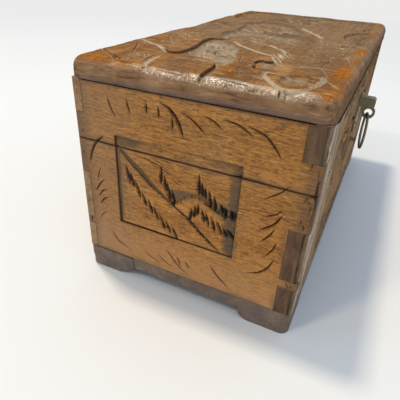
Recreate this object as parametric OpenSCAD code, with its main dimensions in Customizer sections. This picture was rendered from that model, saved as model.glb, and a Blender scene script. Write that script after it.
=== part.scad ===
// Carved wooden box with a hinged lid.
// The four walls are finger-jointed and closed by a top and a bottom, and one saw cut through the
// walls then frees the lid, so that lid and body match. Two butt hinges join them at the back, and
// a drop ring on the lid hooks over a peg on the body.
// The box stands on its feet at z = 0. Its front faces -Y and its length lies along X.

/* [Walls] */
// Length over the two end boards
box_l = 300; // [280:5:330]
// Width over the front and back boards
box_w = 150; // [140:5:170]
// Height of the walls, saw cut included
wall_h = 120.5; // [118:0.5:128]
// Thickness of the front board, which is carved deeply
front_t = 11; // [10:0.5:13]
// Thickness of the plain back board
back_t = 7; // [6.5:0.5:10]
// Thickness of the end boards
end_t = 10; // [8:0.5:12]
// Radius worn on the upright corners
corner_r = 3; // [1:0.5:4]

/* [Saw cut] */
// Height of the saw cut above the walls' lower edge
seam_h = 84; // [80:0.5:88]
// Width of the saw cut
kerf = 0.5; // [0.4:0.1:0.8]

/* [Finger joints] */
// Height of the long boards' lowest finger
low_finger = 20; // [16:0.5:24]
// Height of the narrow tongue of the end board above it
low_tongue = 6; // [5:0.5:8]
// Height of the long boards' middle finger
mid_finger = 34.5; // [30:0.5:38]
// Height of the end board's tall tongue, which the saw cuts through
tall_tongue = 40.5; // [36:0.5:44]

/* [Top board] */
// Thickness of the top board
top_t = 12.5; // [12:0.5:15]
// How far the top board stands out over the walls
top_lip = 0.8; // [0.4:0.2:2]
// Radius of the top board's upper edge
top_edge_r = 7; // [4:0.5:8]
// Radius of the top board's corners, seen from above
top_plan_r = 9; // [8.5:0.5:12]

/* [Bottom and feet] */
// Thickness of the two bottom planks
bottom_t = 8.5; // [7:0.5:10]
// Width of the narrower plank, along the back
back_plank_w = 37.5; // [30:0.5:45]
// How far the back plank stands out past the ends
plank_lip = 0.8; // [0.2:0.2:0.8]
// Height of the feet
foot_h = 8.5; // [7:0.5:10]
// Length of a foot along each side of its corner
foot_l = 34; // [30:1:40]
// Width of a foot's two arms
foot_arm = 14; // [12:1:18]
// Run of the slope at the inner ends of the back feet
foot_slope = 13; // [8:1:16]
// Radius worn on the corners of the bottom and the feet
base_corner_r = 5.5; // [3:0.5:7]

/* [Carved end panels] */
// Distance of the panel's left edge from the middle of the end
panel_left = 46.5; // [44:0.5:48]
// Distance of the panel's right edge from the middle of the end
panel_right = 35; // [33:0.5:37]
// Height of the panel's lower edge above the ground
panel_low = 46; // [44:0.5:48]
// Height of the panel's upper edge above the ground
panel_high = 108; // [106:0.5:110]
// Depth of the bevel along the panel's edges
bevel_d = 2; // [1:0.1:3]

/* [Relief on the top and the front] */
// Depth of the sunk ground on the top
top_ground_d = 2.2; // [1:0.1:3]
// Depth of the sunk ground on the front
front_ground_d = 2.5; // [1:0.1:3]
// Depth of the cuts on rocks and cliff, and of the lower rocks and pines
cut_d = 1.1; // [0.6:0.1:1.5]

/* [Back hinges] */
// Distance of each hinge from the middle of the box
hinge_x = 92; // [80:1:110]
// Length of a hinge along the seam
leaf_l = 26; // [22:1:32]
// Width of a leaf on the sawn edge
leaf_w = 6.2; // [5:0.1:6.4]
// Thickness of a leaf
leaf_t = 1; // [0.8:0.1:1.2]
// Outer radius of the hinge knuckles
knuckle_r = 2; // [1.8:0.1:2.1]
// Radius of the hinge pins
pin_r = 1; // [0.8:0.05:1]

/* [Ring catch] */
// Radius of the round plate that the seam splits
plate_r = 15.5; // [14:0.5:17]
// Thickness of the plate's halves
plate_t = 1.2; // [0.8:0.1:1.4]
// Radius of the drop ring along the middle of its wire
ring_r = 13.6; // [13:0.1:14]
// Radius of the ring's wire
wire_r = 1; // [0.8:0.05:1.1]
// Outer radius of the eye that holds the ring
eye_r = 4.9; // [4.7:0.1:5]
// Radius of the hole in the eye
eye_hole_r = 3; // [2.8:0.1:3.1]
// How far the ring hangs turned out of the plane of the plate
ring_turn = 8; // [0:1:10]

/* [Hidden] */
$fn = 64;

end_wood = "peru";
long_wood = "saddlebrown";
base_wood = "sienna";
brass = "darkkhaki";

// Heights above the ground
wall_z = foot_h + bottom_t;
top_z = wall_z + wall_h;
seam_z = wall_z + seam_h;
lid_z = seam_z + kerf / 2;
body_z = seam_z - kerf / 2;
joint_z = [0, low_finger, low_finger + low_tongue, low_finger + low_tongue + mid_finger,
           low_finger + low_tongue + mid_finger + tall_tongue, wall_h];

// The ring's eye stands out in front further than the knuckles do behind, so the walls sit a
// little behind the middle of the whole
eye_out = 8.3;
pin_out = knuckle_r + 0.2;
middle_y = (eye_out + eye_r - pin_out - knuckle_r) / 2;
front_y = middle_y - box_w / 2;
back_y = middle_y + box_w / 2;

// Hinge
pin_y = back_y + pin_out;
bore_r = pin_r + 0.05;
lid_knuckle_l = 8.6;
knuckle_gap = 0.2;
body_knuckle_l = (leaf_l - lid_knuckle_l) / 2 - knuckle_gap;
pin_head_r = 1.7;
pin_head_t = 0.7;
screw_r = 0.8;
screw_head_r = 1.5;
screw_head_h = 0.8;
screw_l = 6;
screw_step = 9;

// Ring catch
plate_face_y = front_y - plate_t;
plate_gap = 0.7;
eye_y = front_y - eye_out;
eye_z = seam_z + 1.4;
eye_t = 3;
ring_slack = 0.4;
ring_top_z = eye_z - eye_hole_r + wire_r + ring_slack;
lug_w = 7.2;
lug_low_z = seam_z + 5.5;
lug_h = 7.5;
lug_out = 10.6;
lug_edge_r = 2;
spike_r = 1.5;
spike_l = 9;
nail_r = 0.6;
nail_l = 7;
nail_head_r = 1.5;
nail_head_h = 0.8;
nail_ring_r = 12;
nail_angles = [25, 65, 115, 155];
peg_z = seam_z - 22.4;
peg_r = 1.2;
peg_l = 4.7;
peg_head_r = 2.2;
peg_head_t = 1.4;
peg_collar_r = 2.6;
peg_collar_t = 0.8;
peg_root = 8;

// Relief of the top, seen from above: the sunk ground, the rocks and trees left standing in it,
// and the lines of the cuts between the rocks
rear_hollow = [[-98, 30], [-50, 36], [-46, 28], [-55, 16], [-64, 8], [-80, 2], [-122, -4],
               [-111, 8], [-108, 27]];
chip_hollow = [[-107, -17.5], [-97, -15], [-95, -25], [-103, -30], [-113, -24]];
boss_hollow = [[-139, -44], [-135, -50.5], [-117, -50], [-117, -42], [-127, -37], [-135, -38]];
small_hollow = [[-22, -50], [-12, -49], [-8, -55], [-13, -61], [-22, -58]];
middle_hollow = [[-44, 14], [-39, 32], [-14, 40], [2, 38], [48, 44], [66, 34], [66, 14], [44, -4],
                 [18, -18], [10, 14], [2, 6], [2, -14], [-10, -22], [-26, -18], [-38, -2]];
middle_rocks = [[[20, 30], [22, 16], [34, 8], [50, 14], [56, 24], [48, 37], [34, 40]],
                [[-34, 22], [-32, 6], [-20, -4], [-8, 0], [-6, 14], [-14, 28], [-26, 32]]];
rear_bay = [[-21, 75], [-16, 63], [-6, 52], [8, 46.5], [22, 48], [34, 58], [38, 75]];
rear_bay_rock = [[-9, 72], [-2, 58], [12, 54], [25, 61], [27, 72]];
front_bay = [[-2, -62.5], [5, -55], [20, -46.5], [42, -45], [57, -52], [62, -62.5]];
far_ground = [[72, 64], [76, 44], [76, 4], [70, -12], [69, -54], [84, -60], [136, -58], [139, -30],
              [139, 40], [134, 66], [88, 70]];
far_rocks = [[[90, -56], [79, -38], [84, -18], [100, -8], [118, -16], [130, -34], [128, -54],
              [110, -60]],
             [[96, 66], [86, 48], [94, 30], [110, 22], [126, 30], [134, 48], [129, 64], [112, 70]]];
// Pines: the middle and the radius of each
far_pines = [[85.5, 16, 8.5], [97, 2, 8.5], [112, 8, 9], [126, 0, 8], [124, 16, 7]];
bay_pines = [[16, -57, 8], [32, -54, 7], [48, -57, 7]];
top_cuts = [
    [[-83, 71], [-91, 62], [-104, 43], [-106, 35], [-94, 32.5], [-61, 36.5], [-49, 37.5], [-44, 32],
     [-49, 22]],
    [[-146, -2], [-124, 0.3], [-113, 4.5], [-109.5, 16], [-109.5, 25], [-106, 35]],
    [[-115, -26], [-127, -27.5], [-135, -33], [-146, -44], [-146, -50], [-130, -57], [-108, -56]],
    [[-116, -19.5], [-101, -14.8], [-95.5, -17], [-95.5, -27]],
    [[-126, 71], [-135, 61], [-144, 47], [-144, 40]],
    [[-146, 31], [-130, 35.5], [-118, 37]],
    [[16, 12], [12, -6], [2, -24], [-12, -29], [-26, -28]]
];
// Lines of the fine cuts
top_lines = [
    [[-69, 10], [-72, -6], [-82, -26]],
    [[-37, 8], [-49, -8], [-57, -18], [-71, -25], [-90, -34]],
    [[-65, -14], [-81, -22], [-101, -32]],
    [[52, -5], [36, -17], [22, -26], [9, -33]],
    [[-91, 70], [-107, 62], [-118, 55.5]],
    [[-42, 71], [-68, 59], [-87, 45]]
];

// Relief of the front, seen from outside
front_ground = [[-83.5, 21], [-86, 35], [-88.5, 50], [-89.5, 62], [-92.5, 80], [-98.5, 97],
                [-103.5, 113], [-106.5, 133], [134, 133], [139, 118], [139, 34], [133, 21]];
front_rocks = [
    [[62, 90], [66, 108], [80, 122], [96, 118], [106, 106], [118, 116], [130, 104], [134, 84],
     [118, 76], [88, 78]],
    [[-50, 94], [-51, 112], [-41, 124], [-30, 122], [-22, 110], [-24, 98], [-38, 91]],
    [[-66, 40], [-74, 54], [-66, 74], [-52, 84], [-38, 78], [-32, 62], [-36, 44], [-50, 30]],
    [[-33, 30], [-31, 54], [-20, 68], [-8, 62], [0, 48], [-2, 30]],
    [[20, 30], [18, 52], [28, 72], [44, 76], [56, 62], [58, 42], [46, 30]],
    [[62, 30], [59, 52], [70, 68], [88, 72], [100, 58], [100, 40], [86, 30]],
    [[104, 30], [104, 58], [116, 70], [130, 64], [134, 46], [130, 30]]
];
crescent = [[-83, 76], [-86, 88], [-78, 96], [-62, 95], [-57, 88], [-68, 84], [-76, 72]];
// Pavilion: its outline, and the openings between its posts
pavilion = [[-93, 102], [-93, 116.5], [-98, 117], [-90, 121], [-82, 128], [-70, 128],
            [-62, 121], [-54, 117], [-60, 116.5], [-60, 101]];
bay_x = [-90, -83, -76, -69, -62];
bay_z = 103.5;
bay_w = 2.2;
bay_h = 11.5;
front_pines = [[44, 90.5, 9], [34, 108, 9], [50, 114, 10], [30, 124, 6], [12, 70, 7], [24, 86, 7],
               [-11, 75, 5]];
// Waves along the foot: for each row the height and the place of the first
wave_rows = [[30, -74], [24, -66]];
wave_r = 8.6;
wave_step = 16;
wave_foot = 4;
waves_end = 130;
// Long upright cuts of the cliff at the left
cliff_cuts = [
    [[-138, 131], [-136, 112], [-134, 92]], [[-132.5, 130], [-130.5, 112], [-128.5, 96]],
    [[-128, 132], [-126, 114], [-123.5, 90]], [[-122.5, 131], [-120.5, 110], [-118, 92]],
    [[-118, 129], [-116, 112], [-113.5, 94]], [[-113, 131], [-111, 114], [-108.5, 97]],
    [[-134, 86], [-132, 59], [-133, 30]], [[-119, 84], [-117, 55], [-118, 26]],
    [[-103, 88], [-101, 65], [-102, 40]]
];
// Flat wood left round the brass plate and round the peg
plate_border = 3.5;
peg_border = 2.4;
// Half the width of a fine cut
cut_w = 0.6;
// How far a cut of the top's ground reaches to the left and to the right of its line
ground_left = 0.8;
ground_right = 2.4;
// Where a rock's strata lie, as shares of the way from its middle to its outline
strata_shares = [0.84, 0.55];
// How much further than a rock or a pine its lowering reaches into the sunk ground
past_rock = 1.03;
past_pine = 0.3;

// Extra length of a cutting shape, so that it passes the face it cuts
over = 1;

// Block with rounded upright edges, standing on z = 0 about the middle of the walls
module upright_block(l, w, h, r) {
    translate([0, middle_y, 0]) {
        translate([-l / 2 + r, -w / 2, 0]) cube([l - 2 * r, w, h]);
        translate([-l / 2, -w / 2 + r, 0]) cube([l, w - 2 * r, h]);
        for (x = [-1, 1], y = [-1, 1])
            translate([x * (l / 2 - r), y * (w / 2 - r), 0]) cylinder(h = h, r = r);
    }
}

// Front or back board of thickness t, notched where the end boards' tongues cross it
module long_board(y, t) {
    intersection() {
        upright_block(box_l, box_w, top_z, corner_r);
        difference() {
            translate([-box_l / 2, y, wall_z]) cube([box_l, t, wall_h]);
            for (end = [-1, 1], i = [1, 3])
                translate([end * (box_l / 2 - end_t / 2) - end_t / 2 + (end - 1) / 2 * over,
                           y - over, wall_z + joint_z[i]])
                    cube([end_t + over, t + 2 * over, joint_z[i + 1] - joint_z[i]]);
        }
    }
}

// End board at the left (-1) or right (1), notched where the long boards' fingers cross it
module end_board(end) {
    x = end * (box_l / 2 - end_t / 2) - end_t / 2;
    difference() {
        intersection() {
            upright_block(box_l, box_w, top_z, corner_r);
            difference() {
                translate([x, front_y, wall_z]) cube([end_t, box_w, wall_h]);
                for (i = [0, 2, 4]) {
                    z = wall_z + joint_z[i] - (i == 0 ? over : 0);
                    h = joint_z[i + 1] - joint_z[i] + (i == 2 ? 0 : over);
                    translate([x - over, front_y - over, z])
                        cube([end_t + 2 * over, front_t + over, h]);
                    translate([x - over, back_y - back_t, z])
                        cube([end_t + 2 * over, back_t + over, h]);
                }
            }
        }
        translate([end * box_l / 2, middle_y, 0]) rotate([90, 0, end * 90]) panel_cuts();
    }
}

// Part of the walls that goes with the lid
module of_lid() {
    intersection() {
        children();
        translate([-box_l, -box_w, lid_z]) cube([2 * box_l, 2 * box_w, wall_h]);
    }
}

// Part of the walls that stays with the body
module of_body() {
    intersection() {
        children();
        translate([-box_l, -box_w, 0]) cube([2 * box_l, 2 * box_w, body_z]);
    }
}

// Bevel cut along x, deepest on the x axis and rising towards +y
module bevel(length, width, depth) {
    rotate([90, 0, 90]) linear_extrude(height = length)
        polygon([[0, over], [0, -depth], [width, 0], [width, over]]);
}

// V-shaped groove from p to q on the face z = 0
module vee(p, q, width, depth) {
    run = q - p;
    translate([p[0], p[1], 0]) rotate([0, 0, atan2(run[1], run[0])])
        rotate([90, 0, 90]) linear_extrude(height = norm(run))
            polygon([[-width / 2, over], [-width / 2, 0], [0, -depth], [width / 2, 0],
                     [width / 2, over]]);
}

// Carving of an end panel. Seen from outside, x runs to the right and y up, with z out of the wood
module panel_cuts() {
    panel_w = panel_left + panel_right;
    panel_h = panel_high - panel_low;
    translate([panel_right, panel_low, 0]) rotate([0, 0, 90]) bevel(panel_h, 7, bevel_d);
    translate([panel_right, panel_high, 0]) rotate([0, 0, 180]) bevel(panel_w, 7, bevel_d);
    translate([-panel_left, panel_high, 0]) rotate([0, 0, -90]) bevel(panel_h, 4, 0.8 * bevel_d);
    translate([-panel_left, panel_low, 0]) bevel(panel_w, 1.5, 0.6 * bevel_d);
    vee([-44, panel_high - 7], [25, panel_low + 2], 2.2, 1.2);
    // Ground cut away behind the hill
    hill_low = [-7, 71];
    translate([0, 0, -0.6 * bevel_d]) linear_extrude(height = bevel_d)
        polygon([hill_low, [2, 78], [8, 80.5], [14, 78.5], [22, 75], [29, 73], [29, 83],
                 [-20, 83]]);
}

// Direction across a line at its point i, towards the left
function across_line(line, i) =
    let (run = line[min(i + 1, len(line) - 1)] - line[max(i - 1, 0)])
        [-run[1], run[0]] / norm(run);

// Outline of a band that reaches so far to the left and to the right of a line
function band(line, left, right) = concat(
    [for (i = [0:len(line) - 1]) line[i] + left * across_line(line, i)],
    [for (i = [len(line) - 1:-1:0]) line[i] - right * across_line(line, i)]);

// An outline's points moved to a share of their distance from its middle
function about_middle(outline, share) =
    let (middle = [for (p = outline) 1] * outline / len(outline))
        [for (p = outline) middle + share * (p - middle)];

// The stretch of an outline that a rock's strata repeat further in
function stratum(rock, share) =
    let (inner = about_middle(rock, share)) [for (i = [1:len(rock) / 2 + 1]) inner[i]];

module discs(places, wider = 0) {
    for (p = places) translate([p[0], p[1]]) circle(r = p[2] + wider);
}

module fine_cuts(lines) {
    for (line = lines) polygon(band(line, cut_w, cut_w));
}

module strata(rocks) {
    fine_cuts([for (rock = rocks, share = strata_shares) stratum(rock, share)]);
}

// The inside of an outline, without its children's
module around(outline) {
    difference() {
        polygon(outline);
        children();
    }
}

// Ground sunk to a depth below z = 0 inside its children's outlines
module sunk(depth) {
    translate([0, 0, -depth]) linear_extrude(height = depth + over) children();
}

module top_relief() {
    sunk(top_ground_d) {
        for (hollow = [rear_hollow, chip_hollow, boss_hollow, small_hollow]) polygon(hollow);
        around(middle_hollow) for (rock = middle_rocks) polygon(rock);
        around(rear_bay) polygon(rear_bay_rock);
        around(front_bay) discs(bay_pines);
        around(far_ground) {
            for (rock = far_rocks) polygon(rock);
            discs(far_pines);
        }
        for (line = top_cuts) polygon(band(line, ground_left, ground_right));
    }
    sunk(cut_d) {
        for (rock = middle_rocks) polygon(about_middle(rock, past_rock));
        discs(far_pines, past_pine);
        strata(far_rocks);
        fine_cuts(top_lines);
    }
}

// Row of waves, each a half disc on a short foot
module waves() {
    for (row = wave_rows, x = [row[1]:wave_step:waves_end])
        translate([x, row[0]]) intersection() {
            circle(r = wave_r);
            translate([-wave_r, -wave_foot]) square([2 * wave_r, wave_r + wave_foot]);
        }
}

module front_relief() {
    sunk(front_ground_d) {
        around(front_ground) {
            for (rock = front_rocks) polygon(rock);
            polygon(crescent);
            polygon(pavilion);
            discs(front_pines);
            waves();
            translate([0, seam_z]) circle(r = plate_r + plate_border);
            translate([0, peg_z]) circle(r = peg_collar_r + peg_border);
        }
        for (x = bay_x) translate([x - bay_w / 2, bay_z]) square([bay_w, bay_h]);
    }
    sunk(cut_d) {
        discs(front_pines, past_pine);
        strata(front_rocks);
        fine_cuts(cliff_cuts);
    }
}

// Countersunk screw pointing down, its head's face at z = 0
module screw() {
    translate([0, 0, -screw_head_h]) cylinder(h = screw_head_h, r1 = screw_r, r2 = screw_head_r);
    translate([0, 0, -screw_l]) cylinder(h = screw_l - screw_head_h, r = screw_r);
}

// The three screws of one leaf, on the lid's sawn edge (1) or the body's (-1)
module leaf_screws(x, up) {
    for (i = [-1, 0, 1])
        translate([x + i * screw_step, back_y - 0.55 * leaf_w, seam_z + up * kerf / 2])
            rotate([up > 0 ? 180 : 0, 0, 0]) screw();
}

// Bed cut in a sawn edge for a leaf
module leaf_bed(x, up) {
    translate([x - leaf_l / 2, back_y - leaf_w, seam_z + (up > 0 ? 0 : -kerf / 2 - leaf_t)])
        cube([leaf_l, leaf_w + over, leaf_t + kerf / 2]);
}

// Hinge leaf with its knuckles: one in the middle on the lid (1), two outside on the body (-1)
module hinge_leaf(x, up) {
    low = up > 0 ? kerf / 2 : -kerf / 2 - leaf_t;
    knuckles = up > 0 ? [[-lid_knuckle_l / 2, lid_knuckle_l]]
                      : [[-leaf_l / 2, body_knuckle_l], [leaf_l / 2 - body_knuckle_l, body_knuckle_l]];
    difference() {
        union() {
            translate([x - leaf_l / 2, back_y - leaf_w, seam_z + low]) cube([leaf_l, leaf_w, leaf_t]);
            for (k = knuckles) {
                translate([x + k[0], pin_y, seam_z]) rotate([0, 90, 0])
                    cylinder(h = k[1], r = knuckle_r);
                translate([x + k[0], back_y - leaf_t, seam_z + low])
                    cube([k[1], leaf_t + pin_out - bore_r - 0.05, leaf_t]);
            }
        }
        translate([x - leaf_l / 2 - over, pin_y, seam_z]) rotate([0, 90, 0])
            cylinder(h = leaf_l + 2 * over, r = bore_r);
        leaf_screws(x, up);
    }
}

// Hinge pin with its ends beaten out into heads
module hinge_pin(x) {
    translate([x, pin_y, seam_z]) rotate([0, 90, 0]) {
        translate([0, 0, -leaf_l / 2]) cylinder(h = leaf_l, r = pin_r);
        translate([0, 0, leaf_l / 2]) cylinder(h = pin_head_t, r = pin_head_r);
        translate([0, 0, -leaf_l / 2 - pin_head_t]) cylinder(h = pin_head_t, r = pin_head_r);
    }
}

// Shanks of the nails in the upper (1) or lower (-1) half of the round plate
module nail_places(up) {
    for (a = nail_angles)
        translate([nail_ring_r * cos(a), plate_face_y, seam_z + up * nail_ring_r * sin(a)])
            rotate([90, 0, 0]) children();
}

module nail_shank() {
    translate([0, 0, -nail_l]) cylinder(h = nail_l, r = nail_r);
}

// Domed nail, its head on z = 0
module nail() {
    dome_r = (nail_head_r * nail_head_r + nail_head_h * nail_head_h) / (2 * nail_head_h);
    nail_shank();
    intersection() {
        translate([0, 0, nail_head_h - dome_r]) sphere(r = dome_r);
        cylinder(h = nail_head_h + over, r = 2 * nail_head_r);
    }
}

// Upper (1) or lower (-1) half of the round plate
module half_plate(up) {
    difference() {
        translate([0, front_y, seam_z]) rotate([90, 0, 0]) cylinder(h = plate_t, r = plate_r);
        translate([-plate_r - over, plate_face_y - over,
                   seam_z + (up > 0 ? -plate_r - over : -plate_gap / 2)])
            cube([2 * (plate_r + over), plate_t + 2 * over, plate_r + over + plate_gap / 2]);
        nail_places(up) nail_shank();
    }
}

module lug_spike() {
    translate([0, plate_face_y + spike_l, lug_low_z + lug_h / 2]) rotate([90, 0, 0])
        cylinder(h = spike_l, r = spike_r);
}

// Shank of the peg, from its tip into the front board
module peg_shank() {
    translate([0, front_y + peg_root, peg_z]) rotate([90, 0, 0])
        cylinder(h = peg_root + peg_l, r = peg_r);
}

// Side profile swept across the box, its x running along Y and its y along Z
module across(width) {
    translate([-width / 2, 0, 0]) rotate([90, 0, 90]) linear_extrude(height = width) children();
}

// Foot at the corner given by two signs. Its inner ends are quarter rounds at the front and
// slopes at the back
module foot(end, side) {
    intersection() {
        upright_block(box_l, box_w, foot_h, base_corner_r);
        union() {
            translate([end * (box_l / 2 - foot_arm), middle_y + side * box_w / 2, 0])
                mirror([0, side > 0 ? 1 : 0, 0]) mirror([end < 0 ? 1 : 0, 0, 0])
                    rotate([90, 0, 90]) linear_extrude(height = foot_arm) foot_profile(side);
            translate([end * box_l / 2, middle_y + side * (box_w / 2 - foot_arm), 0])
                mirror([end > 0 ? 1 : 0, 0, 0]) mirror([0, side > 0 ? 1 : 0, 0])
                    rotate([90, 0, 0]) linear_extrude(height = foot_arm) foot_profile(side);
        }
    }
}

module foot_profile(side) {
    if (side > 0)
        polygon([[0, 0], [foot_l - foot_slope + 4, 0], [foot_l + 4, foot_h], [0, foot_h]]);
    else {
        square([foot_l - foot_h, foot_h]);
        intersection() {
            translate([foot_l - foot_h, foot_h]) circle(r = foot_h);
            translate([foot_l - foot_h, 0]) square([foot_h, foot_h]);
        }
    }
}

// Section through the top board's edge, from the middle of a corner's curve outwards
module top_edge_section() {
    square([top_plan_r - top_edge_r, top_t]);
    square([top_plan_r, top_t - top_edge_r]);
    intersection() {
        translate([top_plan_r - top_edge_r, top_t - top_edge_r]) circle(r = top_edge_r);
        square([top_plan_r, top_t]);
    }
}

// Top board before it is carved
module top_blank() {
    l = box_l + 2 * top_lip - 2 * top_plan_r;
    w = box_w + 2 * top_lip - 2 * top_plan_r;
    translate([0, middle_y, top_z]) {
        translate([-l / 2, -w / 2, 0]) cube([l, w, top_t]);
        for (side = [0, 180]) rotate([0, 0, side]) {
            translate([l / 2, w / 2, 0]) rotate([90, 0, 0]) linear_extrude(height = w)
                top_edge_section();
            translate([-l / 2, w / 2, 0]) rotate([90, 0, 90]) linear_extrude(height = l)
                top_edge_section();
        }
        for (x = [-1, 1], y = [-1, 1])
            translate([x * l / 2, y * w / 2, 0]) rotate_extrude() top_edge_section();
    }
}

module top_board() {
    color(long_wood) difference() {
        top_blank();
        translate([0, 0, top_z + top_t]) top_relief();
    }
}

module lid_front_board() {
    color(long_wood) difference() {
        of_lid() long_board(front_y, front_t);
        translate([0, front_y, 0]) rotate([90, 0, 0]) front_relief();
        nail_places(1) nail_shank();
        lug_spike();
    }
}

module lid_back_board() {
    color(long_wood) difference() {
        of_lid() long_board(back_y - back_t, back_t);
        for (x = [-hinge_x, hinge_x]) {
            leaf_bed(x, 1);
            leaf_screws(x, 1);
        }
    }
}

module lid_left_end() {
    color(end_wood) of_lid() end_board(-1);
}

module lid_right_end() {
    color(end_wood) of_lid() end_board(1);
}

module front_board() {
    color(long_wood) difference() {
        of_body() long_board(front_y, front_t);
        translate([0, front_y, 0]) rotate([90, 0, 0]) front_relief();
        nail_places(-1) nail_shank();
        peg_shank();
    }
}

module back_board() {
    color(long_wood) difference() {
        of_body() long_board(back_y - back_t, back_t);
        for (x = [-hinge_x, hinge_x]) {
            leaf_bed(x, -1);
            leaf_screws(x, -1);
        }
    }
}

module left_end_board() {
    color(end_wood) of_body() end_board(-1);
}

module right_end_board() {
    color(end_wood) of_body() end_board(1);
}

module bottom_plank_front() {
    color(base_wood) intersection() {
        translate([0, 0, foot_h]) upright_block(box_l, box_w, bottom_t, base_corner_r);
        translate([-box_l / 2, front_y, foot_h]) cube([box_l, box_w - back_plank_w, bottom_t]);
    }
}

module bottom_plank_back() {
    l = box_l + 2 * plank_lip;
    color(base_wood) intersection() {
        translate([0, 0, foot_h]) upright_block(l, box_w, bottom_t, base_corner_r);
        translate([-l / 2, back_y - back_plank_w, foot_h]) cube([l, back_plank_w, bottom_t]);
    }
}

module foot_front_left() {
    color(base_wood) foot(-1, -1);
}

module foot_front_right() {
    color(base_wood) foot(1, -1);
}

module foot_back_left() {
    color(base_wood) foot(-1, 1);
}

module foot_back_right() {
    color(base_wood) foot(1, 1);
}

module lid_plate() {
    color(brass) difference() {
        half_plate(1);
        lug_spike();
    }
}

module catch_plate() {
    color(brass) half_plate(-1);
}

module lid_plate_nails() {
    color(brass) nail_places(1) nail();
}

module catch_plate_nails() {
    color(brass) nail_places(-1) nail();
}

// Block on the plate, with the eye for the ring below it and a spike into the lid's front
module pull_lug() {
    block_y = plate_face_y - lug_out;
    color(brass) {
        difference() {
            union() {
                across(lug_w) {
                    translate([block_y + lug_edge_r, lug_low_z])
                        square([lug_out - lug_edge_r, lug_h]);
                    translate([block_y, lug_low_z + lug_edge_r])
                        square([lug_out, lug_h - 2 * lug_edge_r]);
                    for (z = [lug_edge_r, lug_h - lug_edge_r])
                        translate([block_y + lug_edge_r, lug_low_z + z]) circle(r = lug_edge_r);
                }
                across(eye_t) {
                    translate([eye_y, eye_z]) circle(r = eye_r);
                    translate([block_y + 0.4, eye_z]) square([6.6, lug_low_z - eye_z + over]);
                }
            }
            translate([-lug_w, eye_y, eye_z]) rotate([0, 90, 0])
                cylinder(h = 2 * lug_w, r = eye_hole_r);
        }
        lug_spike();
    }
}

module catch_peg() {
    color(brass) {
        peg_shank();
        translate([0, front_y, peg_z]) rotate([90, 0, 0])
            cylinder(h = peg_collar_t, r = peg_collar_r);
        translate([0, front_y - peg_l + peg_head_t, peg_z]) rotate([90, 0, 0])
            cylinder(h = peg_head_t, r = peg_head_r);
    }
}

module hinge_leaf_lid_left() {
    color(brass) hinge_leaf(-hinge_x, 1);
}

module hinge_leaf_lid_right() {
    color(brass) hinge_leaf(hinge_x, 1);
}

module hinge_leaf_body_left() {
    color(brass) hinge_leaf(-hinge_x, -1);
}

module hinge_leaf_body_right() {
    color(brass) hinge_leaf(hinge_x, -1);
}

module hinge_pin_left() {
    color(brass) hinge_pin(-hinge_x);
}

module hinge_pin_right() {
    color(brass) hinge_pin(hinge_x);
}

module hinge_screws_lid() {
    color(brass) for (x = [-hinge_x, hinge_x]) leaf_screws(x, 1);
}

module hinge_screws_body() {
    color(brass) for (x = [-hinge_x, hinge_x]) leaf_screws(x, -1);
}

module drop_ring() {
    color(brass) translate([0, eye_y, ring_top_z - ring_r]) rotate([90, 0, ring_turn])
        rotate_extrude() translate([ring_r, 0]) circle(r = wire_r);
}

top_board();
lid_front_board();
lid_back_board();
lid_left_end();
lid_right_end();
lid_plate();
lid_plate_nails();
pull_lug();
hinge_leaf_lid_left();
hinge_leaf_lid_right();
hinge_screws_lid();
front_board();
back_board();
left_end_board();
right_end_board();
bottom_plank_front();
bottom_plank_back();
foot_front_left();
foot_front_right();
foot_back_left();
foot_back_right();
catch_plate();
catch_plate_nails();
catch_peg();
hinge_leaf_body_left();
hinge_leaf_body_right();
hinge_pin_left();
hinge_pin_right();
hinge_screws_body();
drop_ring();
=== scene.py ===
"""The looks of the carved wooden box: carved boards, wood, brass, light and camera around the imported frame.

Each carved board is a closed mesh. Its face is triangulated along the lines of its carving, and every
point is then sunk into the wood by the carving's depth there. Carving is written in millimetres: on the
ends and the front p to the right and q up as seen from outside, and on the top in the frame's X and Y.
"""

import math

import bpy
import numpy as np
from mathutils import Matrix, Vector, geometry, kdtree


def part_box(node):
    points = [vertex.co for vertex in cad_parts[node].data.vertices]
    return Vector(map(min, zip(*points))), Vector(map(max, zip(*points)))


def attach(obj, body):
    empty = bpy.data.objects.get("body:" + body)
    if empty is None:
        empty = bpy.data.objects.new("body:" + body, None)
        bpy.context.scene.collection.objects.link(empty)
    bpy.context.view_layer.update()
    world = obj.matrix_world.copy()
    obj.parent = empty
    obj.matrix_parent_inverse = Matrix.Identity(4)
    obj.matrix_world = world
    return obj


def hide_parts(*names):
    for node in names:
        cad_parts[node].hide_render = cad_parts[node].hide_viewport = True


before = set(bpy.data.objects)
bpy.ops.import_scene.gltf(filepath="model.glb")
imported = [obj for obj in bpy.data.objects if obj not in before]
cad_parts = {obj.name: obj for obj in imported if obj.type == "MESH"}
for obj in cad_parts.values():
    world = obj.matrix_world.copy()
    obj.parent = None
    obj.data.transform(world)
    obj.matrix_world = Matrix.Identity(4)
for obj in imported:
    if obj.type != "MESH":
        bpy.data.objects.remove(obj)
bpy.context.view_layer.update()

MM = 0.001


def extent(node):
    """Lowest and highest corner of a CAD node, in millimetres."""
    low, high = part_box(node)
    return [c / MM for c in low], [c / MM for c in high]


front_low, front_high = extent("front_board")
back_low, back_high = extent("back_board")
end_low, end_high = extent("left_end_board")
lid_end_low, lid_end_high = extent("lid_left_end")
top_low, top_high = extent("top_board")

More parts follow.
